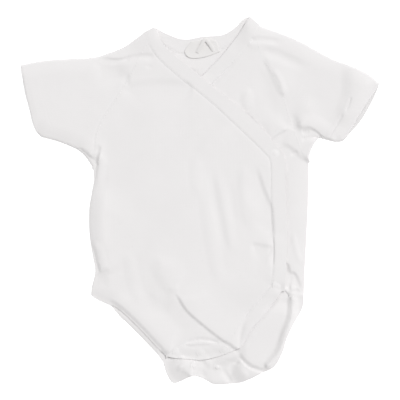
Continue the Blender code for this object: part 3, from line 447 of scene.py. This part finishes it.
def inset(outline, distance):
    """The outline moved inwards, corner by corner."""
    normals = [leftward(outline - np.roll(outline, 1, axis=0)),
               leftward(np.roll(outline, -1, axis=0) - outline)]
    middle = normals[0] + normals[1]
    middle /= np.maximum(np.linalg.norm(middle, axis=1), 1e-6)[:, None]
    cosine = np.maximum((middle * normals[0]).sum(axis=1), 0.5)
    return outline + middle * (distance / cosine)[:, None]


def along(points, line):
    """For each point: its distance from a line, its side of it (1 is left), and how far along it is."""
    best = np.full(len(points), np.inf)
    side = np.ones(len(points))
    run = np.zeros(len(points))
    passed = 0.0
    for start, end in zip(line[:-1], line[1:]):
        step = end - start
        size = np.linalg.norm(step)
        away = points - start
        share = np.clip(away @ step / size**2, 0, 1)
        distance = np.linalg.norm(away - share[:, None] * step, axis=1)
        closer = distance < best
        cross = step[0] * away[:, 1] - step[1] * away[:, 0]
        best = np.where(closer, distance, best)
        side = np.where(closer, np.where(cross >= 0, 1, -1), side)
        run = np.where(closer, passed + share * size, run)
        passed += size
    return best, side, run


def from_edge(points, name, step):
    """How far each point lies from a named edge, which is taken as points about step apart."""
    return along(points, edge(name, step))[0]


def near(points, line, reach):
    """Which points lie in the box round a line."""
    return np.all((points > line.min(axis=0) - reach) & (points < line.max(axis=0) + reach), axis=1)


def inside(points, outline):
    """Whether each point lies inside a closed outline."""
    found = np.zeros(len(points), bool)
    for (x0, y0), (x1, y1) in zip(outline, np.roll(outline, -1, axis=0)):
        if y0 != y1:
            crosses = (points[:, 1] > min(y0, y1)) & (points[:, 1] <= max(y0, y1))
            found ^= crosses & (points[:, 0] < x0 + (points[:, 1] - y0) * (x1 - x0) / (y1 - y0))
    return found


def closed(outline):
    return np.vstack([outline, outline[:1]])


def ease(share):
    """0 to 1 with no kink at either end."""
    share = np.clip(share, 0, 1)
    return share * share * (3 - 2 * share)


def hump(distance, reach):
    """1 in the middle of a rounded hump, dying away on both sides."""
    return np.exp(-((distance / reach) ** 2))


def quarter_round(distance, radius):
    """0 at an edge and 1 from radius inwards, along a quarter circle."""
    return np.sqrt(1 - (1 - np.clip(distance / radius, 0, 1)) ** 2)


def ripple(points, size, seed):
    """Smooth uneven waves between -1 and 1, about size across."""
    return np.array([noise.noise((x / size, y / size, seed)) for x, y in points])


def waver(run, size, seed, layer):
    """The same along a line, at the given distances from its start, and different in each layer."""
    return np.array([noise.noise((r / size, seed, layer)) for r in run])


def swell_height(points, swells):
    """The sum of the swells' heights at each point."""
    total = np.zeros(len(points))
    for swell in swells:
        line = smooth_curve(board(swell.outline + swell.outline[:1]), 3.0)
        total += swell.height * np.where(inside(points, line), ease(along(points, line)[0] / swell.reach), 0)
    return total


def fold_height(points, folds):
    """The sum of the folds' heights at each point."""
    total = np.zeros(len(points))
    for fold in folds:
        line = smooth_curve(board(fold.path), 2.0)
        close = near(points, line, max(fold.left, fold.right))
        distance, side, run = along(points[close], line)
        bell = np.clip(1 - (distance / np.where(side > 0, fold.left, fold.right)) ** 2, 0, 1) ** 2
        slack = END_SPREAD * distance
        ends = ease(run / (fold.fade[0] + slack)) * ease((length_of(line) - run) / (fold.fade[1] + slack))
        total[close] += fold.height * bell * ends
    return total


def seam_grooves(points, seams):
    """Narrow grooves along the sewing, with the small puckers that it gathers beside it."""
    total = np.zeros(len(points))
    for seam in seams:
        line = edge(seam.edge, 2.5)
        close = near(points, line, 2 * PUCKER_REACH)
        distance, _, run = along(points[close], line)
        share = run / length_of(line)
        fade = ease((share - seam.start) / SEAM_ENDS + (seam.start <= 0))
        fade = fade * ease((seam.end - share) / SEAM_ENDS + (seam.end >= 1))
        pucker = seam.pucker * waver(run, *PUCKERS, len(seam.edge)) * hump(distance, PUCKER_REACH)
        total[close] += fade * (pucker - seam.depth * hump(distance, seam.width))
    return total


# The silhouette but for the right cuff, whose open edge stands a little higher
FOLDED_LINE = loop(SILHOUETTE[2:] + SILHOUETTE[:1], 3.0)[0]
INNER_LAYER = loop((*INNER_SIDES, ("inner_neck_edge", -1)), 5.0)[0]
OUTER_LAYER = loop((("outer_neck_edge", 1), ("side_edge", 1), ("leg_front_edge", 1), ("crotch_edge", -1),
                    ("front_leg", -1), ("side_right", -1), ("raglan_right", -1)), 4.0)[0]
WRAP_EDGE = edge("outer_neck_edge+side_edge", 3.0)


def front_height(points):
    """Top of a single front layer: low at the garment's edge, rolling up to its full height."""
    from_cuff = from_edge(points, "cuff_right", 4.0)
    share = np.minimum(along(points, FOLDED_LINE)[0] / ROLL, CUFF_START + from_cuff / ROLL)
    share = np.clip(share, 0, 1)
    total = EDGE_TOP + RISE * (1 - (1 - share) ** 2)
    for peak in board(NECK_POINTS):
        away = np.linalg.norm(points - peak, axis=1) / NECK_TURN_REACH
        total += NECK_TURN * np.clip(1 - away**2, 0, 1) ** 2
    return total + share * sum(height * ripple(points, size, seed) for height, size, seed in RIPPLES)


def over_back(form, points):
    """A front layer's top, kept above the back panel with a soft bend where it comes down on it."""
    lowest = back_skin(points) + WALL + LAYER_GAP
    return 0.5 * (form + lowest + np.sqrt((form - lowest) ** 2 + SETTLE))


def inner_skin(points):
    """Top of the inner front and of the left sleeve, pressed down where the outer front lies on it."""
    distance = along(points, WRAP_EDGE)[0]
    under = ease(0.5 + np.where(inside(points, OUTER_LAYER), 0.5, -0.5) * distance / DIP_REACH)
    form = front_height(points) + fold_height(points, INNER_FOLDS) - WRAP_DIP * under
    top = over_back(form, points) + seam_grooves(points, INNER_SEAMS)
    settled = ease(1 - from_edge(points, "hip_corner", 1.5) / HIP_SETTLE)
    return top + settled * np.minimum(back_skin(points) + HIP_TOP - top, 0)


def outer_skin(points):
    """Top of the outer front and of the right sleeve, higher wherever the inner front lies beneath."""
    outside = np.where(inside(points, INNER_LAYER), 0, along(points, closed(INNER_LAYER))[0])
    cover = ease(1 - outside / WRAP_REACH)
    form = front_height(points) + cover * WRAP_LIFT + fold_height(points, OUTER_FOLDS)
    return over_back(form, points) + seam_grooves(points, OUTER_SEAMS)


def back_skin(points):
    """Top of the back panel, which lies on the table but for the folds of its seat and flap."""
    form = swell_height(points, BACK_SWELLS) + fold_height(points, BACK_FOLDS)
    return WALL + np.maximum(form + seam_grooves(points, BACK_SEAMS), LOWEST_BACK)


def hip_skin(points):
    """The back's left leg binding, raised at its top outer corner to where it is sewn to the inner front."""
    from_hip = from_edge(points, "hip_seam", 2.0)
    from_back = from_edge(points, "back_leg_left_seam", 2.0)
    sewn = ease(1 - from_hip / HIP_SEWN[0]) * ease(from_back / HIP_SEWN[1])
    return (1 - sewn) * back_skin(points) + sewn * (inner_skin(points) - HIP_UNDER)


SKINS = {"outer": outer_skin, "inner": inner_skin, "back": back_skin}


def turned_skin(points):
    return np.full(len(points), 2 * WALL + TURNED_LIFT)


def patch_skin(points):
    """The neck patch, tacked along its top and curling up along its round edge."""
    distance = from_edge(points, "patch_edge", 1.0)
    return back_skin(points) + PATCH_LIFT + PATCH_WALL + PATCH_CURL * ease(1 - distance / PATCH_CURL_REACH)


def in_scene(name, data):
    """A new object at the origin that shows the given mesh, light or camera."""
    made = bpy.data.objects.new(name, data)
    bpy.context.scene.collection.objects.link(made)
    return made


def from_bmesh(name, data):
    """A smooth piece from a bmesh in millimetres."""
    bmesh.ops.scale(data, vec=(MM,) * 3, verts=data.verts)
    mesh = bpy.data.meshes.new(name)
    data.to_mesh(mesh)
    data.free()
    mesh.shade_smooth()
    return in_scene(name, mesh)


def finish(name, verts, faces, grain):
    """A piece from points in millimetres, smooth, with its grain as a UV map in millimetres."""
    mesh = bpy.data.meshes.new(name)
    mesh.from_pydata(verts * MM, [], faces)
    mesh.shade_smooth()
    mesh.set_sharp_from_angle(angle=CORNER)
    corners = np.zeros(len(mesh.loops), np.int32)
    mesh.loops.foreach_get("vertex_index", corners)
    layer = mesh.uv_layers.new(name="Grain")
    layer.uv.foreach_set("vector", grain[corners].astype(np.float32).ravel())
    return in_scene(name, mesh)


def hex_points(outline, step):
    """Points in even triangles inside an outline, clear of its edge."""
    low, high = outline.min(axis=0), outline.max(axis=0)
    across = np.arange(low[0], high[0], step)
    rows = np.arange(low[1], high[1], step * ROW_STEP)
    points = np.vstack([np.stack([across + (j % 2) * step / 2, np.full(len(across), y)], axis=1)
                        for j, y in enumerate(rows)])
    return points[inside(points, outline)]


def panel(name, parts, skin, wall=WALL, hidden=None, step=FINE):
    """One cut panel as a closed shell of cloth with rounded edges. Cloth inside hidden is meshed coarsely."""
    sewn, tucks = loop(parts, step)
    outline = inset(sewn, -tucks)
    points = hex_points(outline, step)
    if hidden is not None:
        coarse = hex_points(outline, COARSE)
        points = np.vstack([points[~inside(points, hidden)], coarse[inside(coarse, hidden)]])
    rings = [inset(outline, np.full(len(outline), ring)) for ring in EDGE_RINGS]
    clear = along(points, closed(outline))[0] > EDGE_RINGS[-1] + step * EDGE_CLEAR
    plan = np.vstack([outline, *rings, points[clear]])
    plan, _, faces, *_ = delaunay_2d_cdt([Vector(p) for p in plan], [], [list(range(len(outline)))], 1, 1e-4)
    flat = np.array([(v.x, v.y) for v in plan])
    distance = along(flat, closed(outline))[0]
    round_over = wall / 2 * (1 - quarter_round(distance, EDGE_ROUND))
    beyond = np.where(inside(flat, sewn), 0, along(flat, closed(sewn))[0])
    round_over = np.maximum(round_over, TUCK_THIN * ease(beyond / TUCK_SLOPE))
    top = skin(flat)
    count = len(flat)
    bottom = np.maximum(top - wall + round_over, 0)
    verts = np.vstack([np.column_stack([flat, top - round_over]), np.column_stack([flat, bottom])])
    rim = np.flatnonzero(distance < 1e-3)
    under = np.arange(count) + count
    under[rim] = rim
    sheets = [tuple(face) for face in faces]
    sheets += [tuple(under[list(reversed(face))]) for face in faces]
    return finish(name, verts, sheets, np.vstack([flat, flat]))


def band(spec):
    """A binding folded double, sewn along its seam, its free edge rounded by the radii at its two ends."""
    seam, free = edge(spec.seam, 1.0), edge(spec.free, 1.0)
    long = max(length_of(seam), length_of(free))
    count = round(long / FINE) + 1
    seam, free = resample(seam, count), resample(free, count)
    run = np.linspace(0, long, count)
    width = np.maximum(np.linalg.norm(free - seam, axis=1), 1.0)[None]
    across = BAND_ACROSS[:, None]
    plan = seam[None] + (free - seam)[None] * across[:, :, None]
    over = across * width
    level = spec.skin(plan.reshape(-1, 2)).reshape(over.shape) + BAND_PROUD * ease(over / BAND_SLOPE)
    thick = WALL + BAND_PROUD
    free_round = np.interp(run, (0, long), spec.rounds)
    rise = np.minimum(quarter_round(over + 0.3, 0.6), quarter_round((1 - across) * width, free_round))
    round_over = thick / 2 * (1 - rise)
    whole = ease(np.minimum(run, long - run) / BAND_ENDS)[None]
    pucker = waver(run, *BAND_PUCKERS, len(spec.name))[None] * hump(over - BAND_STITCH, PUCKER_REACH)
    wander = waver(run, *BAND_WAVER, len(spec.name))[None]
    gathered = whole * BAND_RELIEF * (pucker + wander)
    sewn = BAND_RELIEF * hump(over - BAND_STITCH, SEWN_WIDTH)
    top = level - round_over - sewn + gathered
    bottom = np.maximum(level - thick + round_over, 0)
    rows = len(BAND_ACROSS)
    ring = np.vstack([np.dstack([plan, top]), np.dstack([plan, bottom])[::-1][1:-1]])
    grain = np.dstack([np.vstack([over, over[::-1][1:-1]]), np.broadcast_to(run, ring.shape[:2])])
    total = len(ring)
    faces = tube_faces(total, count)
    for j, way in ((0, 1), (count - 1, -1)):
        for i in range(rows - 1):
            low, high = (total - i) % total, total - i - 1
            corners = [i * count + j, (i + 1) * count + j, high * count + j, low * count + j]
            if high == rows - 1:
                corners = corners[:2] + corners[3:]
            if low == i:
                corners = corners[:-1]
            faces.append(tuple(corners[::way]))
    return outward(finish(spec.name, ring.reshape(-1, 3), faces, grain.reshape(-1, 2)))


def tube_faces(around, count):
    """The faces of a tube made of this many rows round it, each with count points along it."""
    return [(i * count + j, i * count + j + 1, (i + 1) % around * count + j + 1, (i + 1) % around * count + j)
            for i in range(around) for j in range(count - 1)]


def outward(piece):
    """Turns every face of a closed piece outwards."""
    data = bmesh.new()
    data.from_mesh(piece.data)
    bmesh.ops.recalc_face_normals(data, faces=data.faces)
    data.to_mesh(piece.data)
    data.free()
    piece.data.set_sharp_from_angle(angle=CORNER)
    return piece


def patch_between(top, bottom, start, end, rows, columns):
    """Points between four edges, at the shares of rows from the top down and of columns from the start on."""
    upper, lower = (at_shares(edge(e, 1.0), columns) for e in (top, bottom))
    across, down = columns[None, :, None], rows[:, None, None]
    first, last = (at_shares(edge(e, 1.0), rows) for e in (start, end))
    first[0], first[-1], last[0], last[-1] = upper[0], lower[0], upper[-1], lower[-1]
    corners = ((1 - down) * (1 - across) * upper[0] + (1 - down) * across * upper[-1]
               + down * (1 - across) * lower[0] + down * across * lower[-1])
    blend = (1 - down) * upper[None] + down * lower[None]
    return blend + (1 - across) * first[:, None] + across * last[:, None] - corners


def sleeve(name, arm, skin):
    """A sleeve as a flattened tube of cloth, rounded along its folds, with a turned-up hem at the cuff."""
    even = np.linspace(0, 1, SLEEVE_ROWS)
    rows = 0.6 * (0.5 - 0.5 * np.cos(pi * even)) + 0.4 * even
    columns = np.linspace(0, 1, SLEEVE_COLUMNS)
    edges = [f"{part}_{arm}" for part in ("shoulder", "underarm", "raglan", "cuff")]
    edges[2] = f"neck_top_{arm}+{edges[2]}"
    cuff_way = np.gradient(patch_between(*edges, rows, columns)[:, -3:], axis=1)[:, 1]
    cuff_way /= np.linalg.norm(cuff_way, axis=1)[:, None]
    late = ease((columns - PEEK_START) / (1 - PEEK_START))
    reach = late[None, :, None] * CUFF_PEEKS[arm] * np.sin(pi * rows)[:, None, None]

    def layers(row_shares, wall):
        """Plan, top and bottom of the tube's outside, or of its inside when there is a wall to leave out."""
        plan = patch_between(*edges, row_shares, columns)
        flat = plan.reshape(-1, 2)
        fold_distance = np.minimum(*(from_edge(flat, e, 3.0) for e in edges[:2]))
        cuff_distance = from_edge(flat, edges[3], 3.0)
        seam_distance = from_edge(flat, edges[2], 3.0)
        lay = skin(flat)
        own = 1 - ease(1 - seam_distance / SLEEVE_START)
        lay += own * (np.minimum(lay, 2 * WALL + SLEEVE_HOLLOW) - lay)
        lay += HEM_STEPS[arm] * ease((HEM_DEPTH - cuff_distance) / HEM_SLOPE + 0.5)
        lay -= HEM_STEPS[arm] * hump(cuff_distance - HEM_DEPTH + HEM_SEWN[0], HEM_SEWN[1])
        rim = (WALL / 2 + 0.1 - wall / 2) * (1 - quarter_round(cuff_distance, CUFF_ROUND))
        turn = quarter_round(fold_distance - wall * 0.9, SLEEVE_FOLD_ROUND - wall)
        top = FOLD_MIDDLE + (lay - wall - rim - FOLD_MIDDLE) * turn
        bottom = FOLD_MIDDLE + (wall + rim - FOLD_MIDDLE) * turn
        return plan, np.maximum(top, FOLD_MIDDLE).reshape(plan.shape[:2]), bottom.reshape(plan.shape[:2])

    inner_rows = SLEEVE_LINING + (1 - 2 * SLEEVE_LINING) * rows
    rings = []
    for row_shares, wall in ((rows, 0.0), (inner_rows, 1.0)):
        plan, top, bottom = layers(row_shares, wall)
        under = np.dstack([plan + cuff_way[:, None] * reach, bottom])
        rings.append(np.vstack([np.dstack([plan, top]), under[::-1][1:-1]]))
    around, count = len(rings[0]), len(columns)
    run = np.concatenate([rows, 2 - rows[::-1][1:-1]]) * length_of(edge(edges[3], 2.0))
    grain = np.dstack(np.broadcast_arrays(run[:, None], columns[None] * length_of(edge(edges[0], 2.0))))
    faces = tube_faces(around, count)
    faces += [tuple(v + around * count for v in reversed(face)) for face in faces]
    for i in range(around):
        k = (i + 1) % around
        for j in (0, count - 1):
            faces.append((i * count + j, k * count + j, (around + k) * count + j, (around + i) * count + j))
    verts = np.vstack([ring.reshape(-1, 3) for ring in rings])
    return outward(finish(name, verts, faces, np.vstack([grain.reshape(-1, 2)] * 2)))


def stitches(name, rows, length=1.9, spacing=2.9, thick=0.42):
    """Machine stitches along lines: each row is (line, skin that it lies on, how far above that)."""
    data = bmesh.new()
    for line, skin, lift in rows:
        count = max(2, round(length_of(line) / spacing))
        centres = resample(line, count + 1)
        way = np.gradient(centres, axis=0)
        height = skin(centres)
        slope = np.gradient(height) / np.maximum(np.linalg.norm(way, axis=1), 1e-6)
        for (x, y), (dx, dy), z, rise in zip(centres, way, height, slope):
            turn = Vector((dx, dy, rise * np.hypot(dx, dy))).to_track_quat("X", "Z").to_matrix().to_4x4()
            size = Matrix.Diagonal((length / 2, thick / 2, thick / 2, 1))
            place = Matrix.Translation((x, y, z + lift)) @ turn @ size
            bmesh.ops.create_icosphere(data, subdivisions=1, radius=1.0, matrix=place)
    return from_bmesh(name, data)


def beside(line, distance):
    """The line moved to its left by a distance."""
    return line + leftward(np.gradient(line, axis=0)) * distance


def snap(spec):
    """One half of a snap fastener, turned on its own axis and pressed into the cloth, as that leans."""
    centre = board(((spec.across, spec.down),))[0]
    turns = np.linspace(0, 2 * pi, SNAP_SPOKES, endpoint=False)
    spokes = np.stack([np.cos(turns), np.sin(turns)], axis=1)
    under = np.vstack([spokes * radius for radius in SNAP_FOOT])
    plane = np.column_stack([under, np.ones(len(under))])
    tilt_x, tilt_y, seat = np.linalg.lstsq(plane, SKINS[spec.cloth](under + centre), rcond=None)[0]
    data = bmesh.new()
    profile = [data.verts.new((radius, 0, height)) for radius, height in SNAP_PROFILES[spec.half]]
    sides = [data.edges.new(pair) for pair in zip(profile[:-1], profile[1:])]
    bmesh.ops.spin(data, geom=profile + sides, cent=(0, 0, 0), axis=(0, 0, 1), angle=2 * pi,
                   steps=SNAP_SIDES, use_merge=True)
    bmesh.ops.remove_doubles(data, verts=data.verts, dist=0.002)
    lean = Vector((0, 0, 1)).rotation_difference(Vector((-tilt_x, -tilt_y, 1)))
    bmesh.ops.rotate(data, matrix=lean.to_matrix(), verts=data.verts)
    bmesh.ops.translate(data, vec=(*centre, seat + SNAP_SEAT), verts=data.verts)
    bmesh.ops.recalc_face_normals(data, faces=data.faces)
    return from_bmesh(spec.node.replace("snap_", "press_snap_"), data)


def hanger_loop():
    """A narrow tape folded into an inverted V, arching off the neck patch."""
    line = smooth_curve(board(LOOP_PATH), 0.8)
    sideways = leftward(np.gradient(line, axis=0)) * LOOP_WIDTH / 2
    share = np.linspace(0, 1, len(line))
    low = patch_skin(line) + LOOP_GAP + LOOP_RISE * np.sin(pi * share)
    rows = [np.column_stack([line + sideways * across, low + over]) for across, over in LOOP_SECTION]
    verts = np.vstack(rows)
    count, total = len(line), len(rows)
    faces = tube_faces(total, count)
    faces.append(tuple(i * count for i in range(total)))
    faces.append(tuple(i * count + count - 1 for i in reversed(range(total))))
    run = share * length_of(line)
    grain = np.vstack([np.column_stack([np.full(count, 2.0 * i), run]) for i in range(total)])
    return outward(finish("neck_loop_tape", verts, faces, grain))


# ---- materials ----


# Noise as features in a metre: fuzz of about 1.1 mm, drawn coarser than real lint so that it shows at all,
# patches of slightly different white about 30 mm wide, and a gloss that varies every 2.5 mm
FUZZ = 900.0
UNEVEN_WHITE = 35.0
GLOSS_GRAIN = 400.0


def linear(colour):
    """An sRGB hex colour as linear red, green, blue and alpha."""
    values = [int(colour[i:i + 2], 16) / 255 for i in (0, 2, 4)]
    return (*[v / 12.92 if v <= 0.04045 else ((v + 0.055) / 1.055) ** 2.4 for v in values], 1.0)


def add(tree, kind, settings=(), links=()):
    """Adds one node: settings are (property or input, value), links are (input, output socket)."""
    made = tree.nodes.new(kind)
    for key, value in settings:
        if isinstance(key, str) and hasattr(made, key):
            setattr(made, key, value)
        else:
            made.inputs[key].default_value = value
    for key, source in links:
        tree.links.new(source, made.inputs[key])
    return made


def material(name, values):
    """A new material with these values on its shader's own sockets, with its node tree and shader."""
    made = bpy.data.materials.new(name)
    made.use_nodes = True
    shader = made.node_tree.nodes["Principled BSDF"]
    for socket, value in values.items():
        shader.inputs[socket].default_value = value
    return made, made.node_tree, shader


def waves(period):
    """The scale of a wave texture whose bands are period apart."""
    return 2 * pi / 20 / period


def cloth(name, colour, shade, wale, course, relief, roughness, sheen):
    """Knitted or woven cotton: fine ridges across and along the grain, slight fuzz, slightly uneven white."""
    made, tree, shader = material(name, {"Roughness": roughness, "Sheen Weight": sheen,
                                         "Sheen Roughness": 0.5, "Specular IOR Level": 0.25})
    grain = add(tree, "ShaderNodeUVMap", [("uv_map", "Grain")]).outputs["UV"]
    place = add(tree, "ShaderNodeTexCoord").outputs["Object"]
    wales, courses = [
        add(tree, "ShaderNodeTexWave", [("bands_direction", axis), ("Scale", waves(period)),
                                        ("Distortion", 0.6), ("Detail", 1.0), ("Detail Scale", 2.0)],
            [("Vector", grain)]).outputs["Fac"] for axis, period in (("X", wale), ("Y", course))]
    knit = add(tree, "ShaderNodeMath", [("operation", "MULTIPLY")], [(0, wales), (1, courses)])
    fuzz = add(tree, "ShaderNodeTexNoise", [("Scale", FUZZ), ("Detail", 3.0), ("Roughness", 0.6)],
               [("Vector", place)])
    relief_sum = add(tree, "ShaderNodeMath", [("operation", "MULTIPLY_ADD"), (1, 0.5)],
                     [(0, fuzz.outputs["Fac"]), (2, knit.outputs[0])])
    bump = add(tree, "ShaderNodeBump", [("Strength", 0.5), ("Distance", relief * MM)],
               [("Height", relief_sum.outputs[0])])
    uneven = add(tree, "ShaderNodeTexNoise", [("Scale", UNEVEN_WHITE), ("Detail", 2.0)], [("Vector", place)])
    tone = add(tree, "ShaderNodeMix", [("data_type", "RGBA"), (6, linear(shade)), (7, linear(colour))],
               [(0, uneven.outputs["Fac"])])
    tree.links.new(tone.outputs[2], shader.inputs["Base Color"])
    tree.links.new(bump.outputs["Normal"], shader.inputs["Normal"])
    return made


def plain(name, colour, roughness, ior):
    """A smooth moulded or spun material of one colour, with a faint unevenness of gloss."""
    made, tree, shader = material(name, {"Base Color": linear(colour), "IOR": ior})
    place = add(tree, "ShaderNodeTexCoord").outputs["Object"]
    grain = add(tree, "ShaderNodeTexNoise", [("Scale", GLOSS_GRAIN), ("Detail", 2.0)], [("Vector", place)])
    gloss = add(tree, "ShaderNodeMapRange", [("To Min", roughness * 0.85), ("To Max", roughness * 1.15)],
                [("Value", grain.outputs["Fac"])])
    tree.links.new(gloss.outputs["Result"], shader.inputs["Roughness"])
    return made


# cloth() takes the distances between wales and between courses in millimetres. Real ones are about 0.7 mm
# apart in jersey, 1 mm in rib and 0.4 mm in tape, too fine to show, so all are drawn about twice as coarse.
# Single jersey of combed cotton, bleached: a soft matt white with fine upright wales and a haze of fuzz
JERSEY = cloth("Bleached_Cotton_Jersey", "F1EFEF", "EDEBEB", 1.5, 1.3, 0.04, 0.9, 0.12)
# The same cotton knitted as rib and folded double: as white, but closer and with a bolder ribbing
BINDING = cloth("Cotton_Rib_Binding", "F1EFEF", "EDEBEB", 1.6, 2.2, 0.05, 0.88, 0.12)
# Plain-woven cotton tape: tight and flat, a touch greyer and with hardly any fuzz
TAPE = cloth("Woven_Cotton_Tape", "EDEBEA", "E9E7E6", 0.8, 0.8, 0.04, 0.8, 0.05)
# Spun polyester sewing thread: smoother than the cloth, so that the stitches shine slightly
THREAD = plain("Spun_Polyester_Thread", "F1F1F0", 0.55, 1.5)
# Moulded acetal snaps: dense white plastic with a satin gloss, so that their rims show on the matt cloth
SNAP = plain("Moulded_Acetal_Snap", "F0EEEE", 0.6, 1.48)

# ---- the garment ----


def dress(piece, material, slot, *nodes):
    """Gives a piece its material and its place on the model."""
    piece.data.materials.append(material)
    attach(piece, "root")
    if nodes:
        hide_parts(*nodes)
    return piece


outer_parts = (("outer_neck_seam", 1, TUCK), ("side_seam", 1, TUCK), ("leg_front_seam", 1, TUCK),
               ("crotch_seam", -1, TUCK), ("front_leg", -1), ("side_right", -1), ("raglan_right", -1, TUCK))
inner_parts = (("raglan_left", 1, TUCK), ("side_left", 1), ("hip_seam", 1, TUCK), ("inner_hem", 1),
               ("inner_hidden", 1), ("inner_neck_seam", -1, TUCK))
back_parts = (("back_neck_seam", 1, TUCK), ("raglan_left", 1, TUCK), ("side_left", 1),
              ("back_leg_left_seam", 1, TUCK), ("flap_seam", -1, TUCK), ("back_leg_right_seam", -1, TUCK),
              ("side_right", -1), ("raglan_right", -1, TUCK))
outer_cover = inset(OUTER_LAYER, np.full(len(OUTER_LAYER), 10.0))


def dress_jersey(piece, node):
    return dress(piece, JERSEY, "jersey", node)


jersey_outer = dress_jersey(panel("jersey_front_outer", outer_parts, outer_skin), "front_outer")
jersey_inner = dress_jersey(panel("jersey_front_inner", inner_parts, inner_skin, hidden=outer_cover),
                            "front_inner")
jersey_back = dress_jersey(panel("jersey_back", back_parts, back_skin, hidden=outer_cover), "back_panel")
sleeve_right = dress_jersey(sleeve("jersey_sleeve_right", "right", outer_skin), "sleeve_right")
sleeve_left = dress_jersey(sleeve("jersey_sleeve_left", "left", inner_skin), "sleeve_left")

# Bindings: seam and free edge, the cloth whose form they follow, the radii of the free edge, and the node
Band = namedtuple("Band", "name seam free skin rounds node")
BANDS = (
    Band("binding_neck_back", "back_neck_seam", "back_neck", back_skin, TIGHT, "neck_binding_back"),
    Band("binding_neck_inner", "neck_top_left+inner_neck_seam", "inner_neck_edge", inner_skin, ROLLED,
         "neck_binding_inner"),
    Band("binding_neck_outer", "neck_top_right+outer_neck_seam", "outer_neck_edge", outer_skin, TIGHT,
         "neck_binding_outer"),
    Band("binding_side", "side_seam", "side_edge", outer_skin, TIGHT, "side_binding"),
    Band("binding_leg_front_left", "leg_front_seam", "leg_front_edge", outer_skin, WORN,
         "leg_binding_front_left"),
    Band("binding_leg_front_right", "turned_leg_seam", "turned_leg", turned_skin, TIGHT,
         "leg_binding_front_right"),
    Band("binding_crotch_front", "crotch_seam", "crotch_edge", outer_skin, SOFT, "crotch_band_front"),
    Band("binding_leg_back_right", "back_leg_right_seam", "back_leg_right", back_skin, SOFT,
         "leg_binding_back_right"),
    Band("binding_leg_back_left", "back_leg_left_seam", "back_leg_left", hip_skin, SOFT,
         "leg_binding_back_left"),
    Band("binding_crotch_back", "flap_seam", "flap_edge", back_skin, SOFT, "crotch_band_back"),
)


def strip_size(first, second):
    """The greatest width, the length and the area of what shows of a strip between two edges, in metres."""
    lines = [resample(edge(e, 1.0), 60) for e in (first, second)]
    width = np.linalg.norm(lines[0] - lines[1], axis=1) * MM
    long = max(length_of(line) for line in lines) * MM
    return round(float(width.max()), 4), round(float(long), 3), round(float(width.mean() * long), 5)


for spec in BANDS:
    strip = dress(band(spec), BINDING, "binding", spec.node)
    width, long, area = strip_size(spec.seam, spec.free)

patch_parts = (("patch_edge", 1), ("patch_top", -1))
patch = dress(panel("neck_patch_tape", patch_parts, patch_skin, wall=PATCH_WALL), TAPE, "tape", "neck_patch")
loop_tape = dress(hanger_loop(), TAPE, "tape", "hanger_loop")

for spec in SNAPS:
    dress(snap(spec), SNAP, "snap", spec.node)


def area_of(parts):
    """The plan area of an outline, in square metres."""
    return round(float(doubled_area(loop(parts, 3.0)[0])) / 2 * MM * MM, 4)


SLEEVE_SIDES = (("shoulder", 1), ("cuff", 1), ("underarm", -1), ("raglan", -1))
area_of(back_parts)
area_of(outer_parts)
area_of(inner_parts)
for piece, arm in ((sleeve_right, "right"), (sleeve_left, "left")):
    parts = [(f"{part}_{arm}", way) for part, way in SLEEVE_SIDES]
    2 * area_of(parts)

# Binding seams whose topstitching shows
STITCHED = ("outer_neck_seam", "side_seam", "leg_front_seam", "crotch_seam", "inner_neck_seam",
            "back_neck_seam", "back_leg_left_seam", "flap_seam")
bands_by_seam = {spec.seam.split("+")[-1]: spec for spec in BANDS}
binding_rows = []
for name in STITCHED:
    line = edge(name, STITCH_STEP)
    way = resample(edge(bands_by_seam[name].free, 1.0), len(line)) - line
    width = np.linalg.norm(way, axis=1)
    line = (line + way / np.maximum(width, 1e-6)[:, None] * BAND_STITCH)[width > NARROWEST_SEWN]
    binding_rows.append((line[2:-2], bands_by_seam[name].skin, STITCH_LIFT))
dress(stitches("stitching_bindings", binding_rows), THREAD, "binding")

raglan_rows = [(beside(edge("raglan_right", STITCH_STEP), RAGLAN_STITCH)[3:-3], outer_skin, 0.0),
               (beside(edge("raglan_left", STITCH_STEP), -RAGLAN_STITCH)[3:-3], inner_skin, 0.0)]
dress(stitches("stitching_raglans", raglan_rows), THREAD, "jersey")

# ---- table, light and camera ----

TABLE_REACH = 3000.0  # from its middle to each side
TABLE_GAP = 0.3  # how far it lies below the garment
LENS, SENSOR = 135.0, 36.0
FULL_AT = 4.0  # height at which the board just fills the picture

data = bmesh.new()
bmesh.ops.create_grid(data, x_segments=1, y_segments=1, size=TABLE_REACH)
bmesh.ops.translate(data, vec=(0, 0, -TABLE_GAP), verts=data.verts)
floor = from_bmesh("table", data)
# White paper with a little light of its own, so that it stays as white as a studio's ground
paper = material("White_Sweep_Paper", {"Base Color": linear("F7F7F7"), "Roughness": 0.9,
                                       "Emission Color": linear("FFFFFF"), "Emission Strength": 0.6})[0]
floor.data.materials.append(paper)

world = bpy.data.worlds.new("Soft_Studio")
bpy.context.scene.world = world
world.use_nodes = True
world.node_tree.nodes["Background"].inputs["Color"].default_value = linear("FFFFFF")
world.node_tree.nodes["Background"].inputs["Strength"].default_value = 0.42


def distant_light(name, towards, softness, power):
    """An even light from far off, as wide across as softness says."""
    lamp = bpy.data.lights.new(name, "SUN")
    lamp.angle = softness
    lamp.energy = power
    made = in_scene(name, lamp)
    made.location = towards
    made.rotation_euler = (-Vector(towards)).to_track_quat("-Z", "Y").to_euler()


distant_light("key_window", towards=(1.0, 0.9, 2.5), softness=0.5, power=1.95)

lens = bpy.data.cameras.new("overhead")
lens.lens = LENS
lens.sensor_width = SENSOR
lens.clip_start = 0.05
lens.clip_end = 20.0
camera = in_scene("overhead", lens)
camera.location = (0, 0, (BOARD * LENS / SENSOR + FULL_AT) * MM)
bpy.context.scene.camera = camera
bpy.context.scene.view_settings.view_transform = "Standard"
